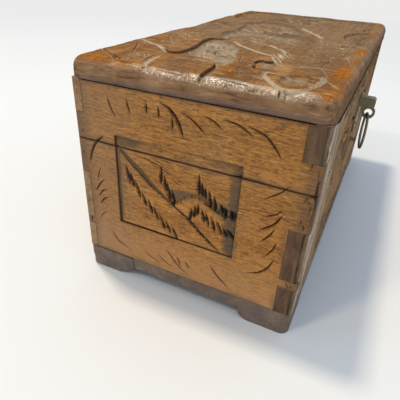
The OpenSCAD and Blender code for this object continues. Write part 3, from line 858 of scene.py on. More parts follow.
def long_wood():
    paint = Paint("long_wood_varnished")
    bands, streaks, pores = grain(paint, "x")
    # where the cliff is cut: a paler tone of painted sheen, and upright splits, pale and dark, painted light
    # and shade
    splits = paint.noise(paint.scaled(1, 1, 0.13), 360, 5, 0.62, 0.7)
    colour = paint.layers(
        paint.cloud(bands, (150, 114, 80), (180, 144, 104)),
        (streaks, 0.45, 0.75, 0.6, (92, 62, 38)),
        (pores, 0.58, 0.7, 0.6, (74, 52, 34)),
        ("split_and_sheen", 0.45, (176, 154, 126)),
        ("split_and_sheen", paint.fit(splits, 0.48, 0.6, 0, 0.8), (210, 192, 166)),
        ("split_and_sheen", paint.fit(splits, 0.45, 0.38, 0, 0.8), (80, 58, 42)),
        ("grime_and_shade", 0.8, GRIME_AND_SHADE),
        ("ground", 0.9, (104, 78, 54)),
        # dust, and painted light on the lit walls of the cliff's cuts
        ("dust", 0.85, (190, 168, 138)),
        ("umber", 0.85, (92, 66, 46)),
        ("stain_and_shade", 0.9, STAIN_AND_SHADE))
    rough = paint.fit(streaks, 0.3, 0.7, 0.4, 0.56)
    height = paint.math("ADD", pores, paint.times(paint.mark("split_and_sheen"), splits))
    return paint.finish(colour, rough, height, 0.4, 0.0005, Specular_IOR_Level=0.0)


def top_edge(paint, blot):
    """Colour of the lid's rounded edge, handled and knocked, with scratches that run along each side, and
    painted shade: blue-grey towards its foot and darker brown on the long sides.
    """
    across = paint.noise(paint.scaled(1, 0.12, 1), 620, 3, 0.6)
    along = paint.noise(paint.scaled(0.12, 1, 1), 620, 3, 0.6)
    middle = paint.math("SUBTRACT", paint.axis(1), MIDDLE_Y * MM)
    long_side = paint.fit(paint.math("ABSOLUTE", middle), 0.0735, 0.077)
    scratches = paint.math("ADD", across, paint.times(long_side, paint.math("SUBTRACT", along, across)))
    edge = paint.layers(
        paint.cloud(blot, (124, 92, 66), (160, 122, 84)),
        (scratches, 0.52, 0.68, 0.8, (66, 46, 34)),
        (scratches, 0.42, 0.32, 0.6, (186, 154, 116)),
        # painted shade: blue-grey towards the foot of the edge
        (paint.axis(2), 0.1425, 0.139, 0.5, (96, 88, 92)))
    # painted shade: darker brown on the long sides
    return paint.mix(paint.times(long_side, 0.65), edge, (94, 68, 42))


def top_wood():
    paint = Paint("top_wood_varnished")
    bands, streaks, pores = grain(paint, "x")
    tint = paint.noise(paint.place, 26, 4, 0.6)
    blot = paint.noise(paint.place, 75, 5, 0.65)
    speck = paint.noise(paint.place, 700, 3, 0.6)
    lumps = paint.noise(paint.place, 420, 3, 0.6)
    polish_and_highlight = paint.mark("polish_and_highlight")
    # knife streaks over the near rocks, pale and dark
    knife = paint.noise(paint.scaled(1, 0.14, 1), 340, 4, 0.7, 0.8)
    near = paint.fit(paint.axis(0), 0.03, -0.09, 0.3, 0.95)
    colour = paint.layers(
        paint.cloud(bands, (138, 92, 48), (166, 116, 66)),
        (tint, 0.5, 0.7, 0.6, (126, 88, 52)),
        ("umber", 0.75, (108, 72, 42)),
        # painted sheen: a greyer tan away from the near end
        (paint.axis(0), -0.12, -0.02, 0.8, (138, 110, 80)),
        ("amber", paint.fit(blot, 0.32, 0.52, 0.45, 0.95), (164, 94, 12)),
        (streaks, 0.45, 0.75, 0.7, (108, 68, 34)),
        (pores, 0.56, 0.7, 0.5, (92, 58, 30)))
    colour = paint.mix(paint.times(near, paint.fit(knife, 0.56, 0.64, 0, 0.55)), colour, (206, 168, 118))
    colour = paint.mix(paint.times(near, paint.fit(knife, 0.43, 0.36, 0, 0.6)), colour, (88, 54, 28))
    colour = paint.layers(colour, ("grime_and_shade", 0.8, top_edge(paint, blot)))
    # painted highlight: pale cream specks where the rounded edge is polished
    painted_highlight = paint.times(paint.fit(polish_and_highlight, 0.4, 0.9), paint.fit(speck, 0.5, 0.66, 0, 0.6))
    soil = paint.layers(
        paint.cloud(blot, (128, 104, 76), (182, 158, 124)),
        (speck, 0.55, 0.7, 0.6, (98, 78, 56)),
        # painted sheen: the far hollows an even, darker tan
        (paint.axis(0), -0.06, 0.02, 0.6, (134, 108, 80)))
    colour = paint.layers(
        paint.mix(painted_highlight, colour, (226, 194, 146)),
        ("ground", 0.85, soil),
        # dust in the cuts, and a painted highlight band on the near rounded edge
        ("dust", paint.fit(speck, 0.3, 0.5, 0.5, 1.0), (196, 174, 140)),
        ("stain_and_shade", 0.93, STAIN_AND_SHADE))
    dull = paint.math("MAXIMUM", paint.mark("ground"), paint.mark("dust"))
    rough = paint.fit(dull, 0, 1, 0.42, 0.8)
    height = paint.math("ADD", speck, paint.times(streaks, 0.8))
    height = paint.math("ADD", height, paint.times(lumps, paint.times(polish_and_highlight, 1.7)))
    gloss = paint.fit(paint.times(polish_and_highlight, paint.fit(blot, 0.3, 0.6)), 0, 1, 0.01, 1.0)
    return paint.finish(colour, rough, height, 0.55, 0.0007, Specular_IOR_Level=0.0, Coat_Weight=gloss,
                        Coat_Roughness=0.2, Coat_IOR=1.85)


def end_grain(name, dark, light):
    """Cut ends of the boards: growth rings as close curved lines, dark with varnish soaked in."""
    paint = Paint(name)
    rings = paint.noise(paint.scaled(0.2, 1, 0.25), 260, 3, 0.5, 0.4)
    spots = paint.noise(paint.place, 900, 3)
    colour = paint.layers(paint.cloud(rings, dark, light), (spots, 0.5, 0.7, 0.5, (66, 48, 34)))
    return paint.finish(colour, 0.55, spots, 0.3, 0.0003, Specular_IOR_Level=0.25)


def bare_wood(name, along):
    """Unvarnished wood of the inside and the sawn edges."""
    paint = Paint(name)
    bands, streaks, pores = grain(paint, along)
    colour = paint.layers(
        paint.cloud(bands, (176, 134, 92), (160, 118, 78)),
        (streaks, 0.4, 0.75, 0.55, (120, 84, 54)),
        (pores, 0.58, 0.72, 0.5, (96, 66, 44)))
    return paint.finish(colour, 0.72, pores, 0.2, 0.0002)


def base_wood():
    paint = Paint("base_wood_worn")
    bands, streaks, pores = grain(paint, "x")
    colour = paint.layers(
        paint.cloud(bands, (106, 89, 74), (132, 111, 92)),
        (streaks, 0.45, 0.75, 0.6, (78, 64, 54)),
        (pores, 0.58, 0.72, 0.5, (56, 44, 36)))
    return paint.finish(colour, 0.6, pores, 0.3, 0.0003, Specular_IOR_Level=0.3)


def brass():
    paint = Paint("aged_brass")
    blot = paint.noise(paint.place, 160, 4, 0.65)
    fine = paint.noise(paint.place, 1400, 3)
    colour = paint.layers(
        paint.cloud(blot, (108, 104, 86), (138, 130, 100)),
        (fine, 0.5, 0.7, 0.7, (78, 98, 84)))
    return paint.finish(colour, paint.fit(blot, 0.3, 0.7, 0.34, 0.55), fine, 0.25, 0.0002, Metallic=0.85)


END_WOOD = end_wood()
LONG_WOOD = long_wood()
TOP_WOOD = top_wood()
LONG_END_GRAIN = end_grain("long_board_ends", (80, 54, 34), (116, 84, 56))
TONGUE_END_GRAIN = end_grain("end_board_tongues", (98, 76, 54), (124, 100, 74))
INSIDE_LONG = bare_wood("inside_long_grain", "x")
INSIDE_END = bare_wood("inside_end_boards", "y")
BASE_WOOD = base_wood()
BRASS = brass()


# End boards

def end_outline(low, high, front_side):
    """Outline of an end board between two levels. The long boards' fingers notch it."""
    right, left = [], []
    for a, b, notched in fingers(low, high):
        front_reach, back_reach = HALF_W - FRONT_T * notched, HALF_W - BACK_T * notched
        right += [(front_reach, a), (front_reach, b)]
        left += [(-back_reach, a), (-back_reach, b)]
    loop = np.array(right + left[::-1])
    return loop if front_side > 0 else (loop * (-1, 1))[::-1]


PANEL_CORNERS = [(-46, 46.5), (34, 46), (35, 108), (-46.5, 108)]
PANEL_WIDTHS = (1.6, 7, 7, 4)
PANEL_DEPTHS = (1.2, 2, 2, 1.6)
PANEL_LIGHTER, PANEL_LIGHTER_R = (-2, 106), 27
HILL_LINE = [(-7, 71), (-2, 74.5), (2, 78), (8, 80.5), (14, 78.5), (22, 75), (28.5, 73)]
HILL_FAR = [(28.5, 83), (12, 84), (-4, 83.5), (-14, 82)]

# Long knife strokes round the panel: points, width, place of the widest part
BORDER_STROKES = [
    ([(-49.5, 130.5), (-47.8, 125), (-44.5, 119)], 1.2, 0.45),
    ([(-36.5, 131), (-35.8, 127), (-34.3, 123)], 1.4, 0.6),
    ([(-24, 132), (-23.6, 125)], 1.5, 0.6),
    ([(-16.2, 131), (-15.9, 124)], 1.5, 0.6),
    ([(-7.6, 126), (-7.4, 119.3)], 1.5, 0.6),
    ([(-15.5, 133), (-9, 130), (-4.5, 124.5), (-0.5, 116)], 2.3, 0.62),
    ([(0, 129.5), (6, 126), (12, 121)], 1.2, 0.6),
    ([(10.5, 130.5), (16, 129), (21.5, 125.5)], 1.2, 0.6),
    ([(22, 131), (30, 129.5), (38, 125.5)], 1.2, 0.6),
    ([(34, 130.3), (44, 127), (50, 121.5), (54, 116.5)], 1.3, 0.6),
    ([(-54.5, 105.5), (-60.5, 100), (-64.5, 93), (-66.5, 85)], 1.7, 0.5),
    ([(-58, 84), (-60.5, 79), (-62, 73)], 0.7, 0.5),
    ([(-56.5, 75), (-60.5, 71), (-64, 65)], 1.3, 0.6),
    ([(-55, 68), (-59, 66), (-62, 61.5)], 1.2, 0.6),
    ([(-54, 62.5), (-58, 60.5), (-61.5, 55.5)], 1.1, 0.6),
    ([(-57.5, 50), (-60.5, 47.5), (-63, 43.5)], 0.7, 0.5),
    ([(-54, 36), (-50, 30), (-45, 27), (-39, 24.5)], 1.3, 0.4),
    ([(-28.5, 28), (-22, 24.5), (-16, 22)], 1.0, 0.5),
    ([(-17.5, 29), (-12, 25), (-7.5, 22.5)], 1.0, 0.5),
    ([(-10.3, 35), (-5, 28), (0, 23.5), (5, 21)], 1.4, 0.4),
    ([(-3, 32.3), (-0.5, 26)], 1.1, 0.4),
    ([(3, 31), (5.8, 26)], 1.2, 0.5),
    ([(20, 35.3), (26, 28), (34, 21.5)], 1.4, 0.5),
    ([(60, 103), (56, 98), (48.5, 92.5)], 1.0, 0.6),
    ([(59, 88.5), (55.5, 84.5), (50, 82)], 1.0, 0.6),
    ([(59.5, 86), (55.5, 78), (48, 72)], 1.6, 0.6),
    ([(56.5, 75.5), (54, 70), (50, 65)], 1.3, 0.6),
    ([(59, 67.5), (57, 61), (53.5, 55.5)], 1.1, 0.6),
    ([(59, 55), (56, 47.5), (51, 42), (44.5, 39.3)], 1.5, 0.55),
]
# Short tapered strokes in rows, such as grass and fir branches: x and y of the head and of the foot
TUFTS = [
    (9.9, 97.4, 10.1, 82.4), (12, 92.2, 12.3, 81.6), (14, 89.8, 14.5, 81), (16.5, 88.8, 17.8, 75.8),
    (19.8, 86, 20.8, 75.4), (24.1, 81.8, 25.4, 75), (26.6, 80, 28.3, 72.6), (30.3, 79.8, 32.1, 72),
    (5.9, 73.6, 4.9, 63.3), (8.1, 76.2, 7.7, 66.2), (10.1, 77.8, 10, 68.6), (12.4, 75, 14.5, 65),
    (15, 73.4, 17.5, 63.2), (18.7, 71.5, 21.7, 61.2), (22.3, 69.5, 26.2, 60.4), (26.3, 66.6, 29.5, 59.2),
    (28.6, 66, 33.6, 58.5), (-39.5, 90.9, -37, 77), (-36.8, 86.6, -33.8, 75.2), (-33.3, 81.8, -29.5, 69),
    (-28.8, 74.6, -25.1, 64), (-24.3, 70.8, -21, 59.8), (-20.7, 66.4, -16.8, 56), (-16.3, 62, -11.8, 50.8),
    (-11.9, 58.7, -7.9, 49.2), (-7.2, 55.6, -3.1, 46.2), (-14.5, 96.2, -15, 83.2),
    (-12.6, 90.8, -11.6, 78.6), (-10.5, 86.2, -8.8, 72.2), (-7.7, 82.2, -5.8, 70),
]
HAIRLINES = [
    [(-34.4, 99), (-20.2, 96.5), (-7.9, 93.8)], [(-26.4, 98.5), (-16.5, 95.1)],
    [(-22.6, 99.8), (-15.2, 97.2), (-4.3, 93.8)], [(-16, 99.6), (-10.4, 99), (-5, 97.2)],
    [(-12.8, 98.4), (-7.9, 96.4), (-4.3, 94.1)], [(-12, 92.8), (-6.8, 90.7)],
    [(-8, 88.4), (-1.6, 86.4)], [(-6, 91.6), (-1.4, 89.2)], [(-21.4, 96.2), (-15.9, 92.2)],
    [(-18, 94.8), (-9, 91.8)],
]


def end_carving():
    """The knife work of an end panel and its border."""
    cuts = [
        Panel(PANEL_CORNERS, PANEL_WIDTHS, PANEL_DEPTHS, PANEL_LIGHTER, PANEL_LIGHTER_R),
        Slope(HILL_LINE, HILL_FAR, 1.5),
        # the long diagonal: a leaf-shaped groove with dust in it, painted shade on its upper flank and a dark
        # line along its lower edge, and a cut that goes on from its foot
        pale([(-43.4, 101), (-36.1, 94.2), (-28.5, 88.4), (-20.3, 80.8), (-9.2, 73.4)], 3.1, 1.5, belly=0.4,
             dust=1.0, blunt=0.35, shade=0.6),
        Stroke([(-44, 100.2), (-37.3, 93.1), (-29.8, 87), (-21.3, 79.7), (-8.2, 71.7)], 2.2, depth=1.1,
               belly=0.6, blunt=0.3),
        Stroke([(-9.4, 73), (4, 64.1), (11.7, 57.6), (19.4, 51.7), (26.8, 46.9)], 2.9, depth=1.2,
               blunt=0.35),
    ]
    cuts += [Stroke(points, 1.25 * width, belly=belly) for points, width, belly in BORDER_STROKES]
    cuts += [Stroke([row[:2], row[2:]], 3.0, depth=1.7, belly=0.7, blunt=0.6) for row in TUFTS]
    cuts += [Stroke(line, 1.0, depth=0.35, stain_and_shade=0.85) for line in HAIRLINES]
    # the corner joint, open where the saw cut meets it
    cuts += [Stroke([(73.3, 110), (73.6, 102), (74.4, 94)], 1.9, depth=0.8, blunt=0.3),
             Stroke([(70.5, 100.8), (76, 101)], 2.4, depth=0.6, blunt=0.5)]
    # rough dark ground right of the hill, and fine level cuts in the lower half of the panel's right side
    cuts += pecks([(13, 80), (22, 79), (34, 78.5), (34, 71.5), (26, 72.5), (16, 77)], 40, 3.4, 0.9, 105, 64,
                  dust=0, stain_and_shade=0.8, depth=0.4)
    cuts += fan([(27.5, 70), (34, 70)], [(26.5, 47.5), (33.6, 47.5)], 15, 0.7, 65, dust=0, stain_and_shade=0.45,
                depth=0.25)
    cuts += [Spot(*row, name="umber") for row in [
        (31, 59, 5, 16, 0.95), (28, 75.5, 9, 3.6, 0.95), (-3, 80, 8, 3, 0.7), (32, 92, 3.4, 17, 0.7),
        (-36, 106, 10, 2.5, 0.8), (-43, 78, 3, 24, 0.4),
    ]]
    return cuts


def end_board(name, node, body, side, low, high, cuts, gape=0.0):
    """An end board at the left (-1) or right (1) with its carving, between two levels.

    Its top edge falls away from the lid's top board by the gape, where the real one has worn.
    """
    loop = end_outline(low, high, -side)

    def place(p, q, depth):
        sag = gape * band(p, 2, 10, 61, 65) * ease((q - TOP_Z + 3) / 3)
        return np.stack([side * (HALF_L - depth), MIDDLE_Y + side * p, q - sag], axis=1)

    def carve(field):
        for cut in cuts:
            cut.cut(field)
        wear(field, loop)
        round_over(field, HALF_W)
        field.depth += 0.06 + 0.06 * ripple(field.points, size=26, seed=3)
        blotch = 0.5 + 0.5 * ripple(field.points, size=18, seed=8)
        field.mark("grime_and_shade", 0.75 * ease(1 - from_edge(field, loop) / 5) * ease(blotch))
        darken_joints(field, loop)
        joints_start, joints_full = 60, 72
        past = np.abs(field.points[:, 0]) - joints_start
        field.mark("grime_and_shade", 0.8 * ease(past / (joints_full - joints_start)))

    lines = board_lines(cuts, loop, low, high, HALF_W)
    obj = closed_board(name, loop, lines, carve, place, thickness=END_T, step=1.1,
                       materials=[END_WOOD, INSIDE_END, TONGUE_END_GRAIN, INSIDE_END],
                       wall_kind=wall_by_direction)
    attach(obj, body)
    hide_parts(node)


# Front boards

def front_outline(low, high):
    """Outline of the front board between two levels, with its fingers at both ends."""
    right = []
    for a, b, filled in fingers(low, high):
        reach = HALF_L if filled else HALF_L - END_T
        right += [(reach, a), (reach, b)]
    return np.array(right + [(-x, z) for x, z in reversed(right)])


def front_relief():
    """The front's landscape from outside: a cliff, rocks, a pavilion, pines and waves in sunk ground."""
    cuts = [
        # the ground, all but the cliff at the left and the border
        Hollow([(-81, 22), (-86, 36), (-86, 50), (-87, 62), (-90, 80), (-96, 97), (-101, 113), (-104, 131),
                (-90, 133), (0, 133), (90, 133), (134, 132), (139, 118), (139, 76), (139, 34), (133, 22),
                (60, 21), (-20, 21)], depth=2.6, wall=1.4, ground=0.55, stain_and_shade=0.85),
        # a dark cut along the cliff's foot, painted shade where the ground drops away
        Stroke([(-107, 133), (-104, 118), (-99, 104), (-94, 88), (-89, 72), (-87, 54), (-87, 36),
                (-83, 20)], 4.2, depth=2.6, stain_and_shade=1.0, lean=-0.3, blunt=0.3),
    ]
    cuts += many(rock, [
        # outline, how many strata, and the stretch of the outline that they repeat
        ([(62, 90), (66, 108), (80, 122), (96, 118), (106, 106), (118, 116), (130, 104), (134, 84),
          (118, 76), (88, 78)], 5, 0.08, 0.62),
        ([(-50, 94), (-51, 112), (-41, 124), (-30, 122), (-22, 110), (-24, 98), (-38, 91)], 4, 0.05, 0.6),
        ([(-83, 76), (-86, 88), (-78, 96), (-62, 95), (-57, 88), (-68, 84), (-76, 72)], 3, 0.05, 0.5),
        ([(-66, 40), (-74, 54), (-66, 74), (-52, 84), (-38, 78), (-32, 62), (-36, 44), (-50, 34)], 5, 0.15,
         0.6),
        ([(-33, 32), (-31, 54), (-20, 68), (-8, 62), (0, 48), (-2, 32), (-16, 28)], 4, 0.1, 0.6),
        ([(20, 34), (18, 52), (28, 72), (44, 76), (56, 62), (58, 42), (46, 32)], 5, 0.1, 0.6),
        ([(62, 34), (59, 52), (70, 68), (88, 72), (100, 58), (100, 40), (82, 32)], 5, 0.1, 0.6),
        ([(104, 34), (104, 58), (116, 70), (130, 64), (134, 46), (130, 32)], 4, 0.1, 0.6),
    ])
    cuts += many(pine, [(44, 90.5, 9), (34, 108, 9), (50, 114, 10), (30, 124, 6), (12, 70, 7), (24, 86, 7),
                        (-11, 75, 5)])
    cuts += pavilion(-76, 101, 30)
    # two rows of waves along the foot
    cuts += many(wave, [(x, y, 8.6) for y, first in ((30, -74), (24, -66)) for x in range(first, 132, 16)])
    # the cliff: long upright cuts, close and deep in its upper half, each a pale cut painted as its lit wall
    # with a dark one, painted shade, in its bottom
    for i, line in enumerate([
            [(-149, 132), (-147.5, 124), (-146, 118)],
            [(-143, 131), (-141.5, 124), (-140.5, 117)],
            [(-138, 131), (-136, 112), (-134, 92)],
            [(-132.5, 130), (-130.5, 112), (-128.5, 96)],
            [(-128, 132), (-126, 114), (-123.5, 90)],
            [(-122.5, 131), (-120.5, 110), (-118, 92)],
            [(-118, 129), (-116, 112), (-113.5, 94)],
            [(-113, 131), (-111, 114), (-108.5, 97)]]):
        cuts += [
            pale(line, (3.0, 2.4, 3.4)[i % 3], (1.5, 1.1, 1.7)[i % 3], dust=0.7, shade=0,
                 lean=(0.5, -0.5)[i % 2], belly=0.4, blunt=0.35),
            Stroke(line, (2.2, 1.2)[i % 2], depth=(1.2, 0.6)[i % 2], belly=0.4, blunt=0.3),
        ]
    # few and shallow cuts below, pale with a dark line, painted light and shade: x, head, foot, width
    for x, head, foot, width in ((-143, 70, 22, 2.0), (-134, 86, 30, 2.6), (-127, 66, 18, 1.8),
                                 (-119, 84, 26, 2.8), (-111, 74, 34, 1.8), (-103, 88, 40, 3.0),
                                 (-96, 60, 22, 2.2), (-138, 48, 12, 1.4)):
        line = [(x, head), (x + 2, (head + foot) / 2), (x + 1, foot)]
        cuts += [
            Stroke(line, width, depth=0.4 * width, stain_and_shade=0.2, dust=0.5, lean=0.3, belly=0.4, blunt=0.4),
            Stroke(line, 1.1, depth=0.5, stain_and_shade=0.95, belly=0.4, blunt=0.3),
        ]
    # and pale ones between them, painted light: x, head, foot
    for x, head, foot in ((-146.5, 72, 18), (-130.5, 90, 24), (-123, 88, 30), (-115, 76, 20),
                          (-107, 84, 16), (-99, 74, 36)):
        cuts.append(pale([(x, head), (x + 1.5, (head + foot) / 2), (x + 1, foot)], 3.0, 0.6, dust=1.0,
                         shade=0, lean=-0.4, blunt=0.35))
    cuts += many(pecks, [
        # where, how many, length, width, way in degrees, seed, dust, stain_and_shade, depth
        ([(-60, 132), (0, 132), (60, 132), (60, 126), (-60, 126)], 16, 4.0, 1.8, 10, 61, 0.3, 0.4, 0.5),
        ([(-20, 96), (-20, 76), (16, 78), (18, 96), (30, 88), (58, 84), (58, 76), (-30, 74)], 30, 4.0, 1.8,
         75, 62, 0.3, 0.4, 0.5),
        ([(-100, 128), (-92, 96), (-86, 60), (-80, 28), (-70, 40), (-76, 60), (-84, 100), (-94, 130)], 30,
         5.0, 1.8, 80, 63, 0.4, 0.5, 0.6),
    ])
    return cuts


def front_board(name, node, body, low, high, cuts):
    """The front board between two levels. Its relief leaves the wood round the brass plate flat."""
    loop = front_outline(low, high)
    plate_low, plate_high = extent("catch_plate")
    peg_low, peg_high = extent("catch_peg")
    plate_r = (plate_high[0] - plate_low[0]) / 2 + 2.5
    peg_r = (peg_high[0] - peg_low[0]) / 2 + 1.5
    fade = 3.0
    joint = 12
    cliff, cliff_full, near_corner, near_corner_full = 92, 100, 112, 126

    def place(p, q, depth):
        return np.stack([p, FRONT_Y + depth, q], axis=1)

    def carve(field):
        p, q = field.points.T
        for cut in cuts:
            cut.cut(field)
        from_plate = np.hypot(p, q - plate_high[2]) - plate_r
        from_peg = np.hypot(p, q - (peg_low[2] + peg_high[2]) / 2) - peg_r
        edge = from_edge(field, loop)
        # the relief runs on across the saw cut, all but at the corners
        at_seam = (from_seam(field) <= edge + 0.01) & (np.abs(p) < HALF_L - joint)
        inner = np.where(at_seam, 9, edge)
        field.keep(ease(np.minimum(from_plate, 2 * from_peg) / fade) * ease((inner - 0.5) / fade))
        wear(field, loop)
        round_over(field, HALF_L)
        field.depth += 0.1 + 0.1 * ripple(field.points, size=24, seed=3)
        darken_joints(field, loop)
        field.mark("umber", 0.8 * ease((np.abs(p) - HALF_L + 3.0) / 1.5))
        # a paler streaked tone over the cliff and nearer the corner: splits, painted sheen, and painted light
        # and shade
        split_and_sheen = 0.4 * ease((-p - cliff) / (cliff_full - cliff))
        split_and_sheen += 0.55 * ease((-p - near_corner) / (near_corner_full - near_corner))
        field.mark("split_and_sheen", split_and_sheen)

    lines = board_lines(cuts, loop, low, high, HALF_L)
    obj = closed_board(name, loop, lines, carve, place, thickness=FRONT_T, step=1.15,
                       materials=[LONG_WOOD, INSIDE_LONG, LONG_END_GRAIN, INSIDE_LONG],
                       wall_kind=wall_by_direction)
    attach(obj, body)
    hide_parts(node)


# Top board

FLAT_R = TOP_PLAN_R - TOP_EDGE_R
ARC_END = FLAT_R + TOP_EDGE_R * math.pi / 2
RIM_R = ARC_END + TOP_T - TOP_EDGE_R
INNER_X = top_high[0] - TOP_PLAN_R
INNER_Y = top_high[1] - MIDDLE_Y - TOP_PLAN_R


def top_outline(radius):
    """Rounded rectangle at a distance from the straight inner one, on the unrolled face."""
    turn = np.radians(np.arange(0, 91, 6))
    loop = []
    for x, y, start in ((1, 1, 0), (-1, 1, 90), (-1, -1, 180), (1, -1, 270)):
        a = turn + math.radians(start)
        loop.append(np.stack([x * INNER_X + radius * np.cos(a), y * INNER_Y + radius * np.sin(a)], axis=1))
    return np.concatenate(loop)


def beyond(p, q):
    """How far a point of the unrolled face lies outside the inner rectangle, and in which direction."""
    dx, dy = np.maximum(np.abs(p) - INNER_X, 0), np.maximum(np.abs(q) - INNER_Y, 0)
    r = np.hypot(dx, dy)
    safe = np.maximum(r, 1e-9)
    return r, np.sign(p) * dx / safe, np.sign(q) * dy / safe


def place_top(p, q, depth):
    """The unrolled face wrapped over the board's rounded edge, with depth along the surface's normal.

    The full thickness as depth stands for the flat back, which has the face's own rim.
    """
    depth = np.where(depth >= TOP_T, 0, depth)
    r, ux, uy = beyond(p, q)
    turn = np.clip((r - FLAT_R) / TOP_EDGE_R, 0, math.pi / 2)
    out = np.minimum(r, FLAT_R) + TOP_EDGE_R * np.sin(turn) - depth * np.sin(turn)
    drop = TOP_EDGE_R * (1 - np.cos(turn)) + np.maximum(r - ARC_END, 0) + depth * np.cos(turn)
    x = np.clip(p, -INNER_X, INNER_X) + ux * out
    y = np.clip(q, -INNER_Y, INNER_Y) + uy * out
    return np.stack([x, MIDDLE_Y + y, TOP_Z + TOP_T - drop], axis=1)


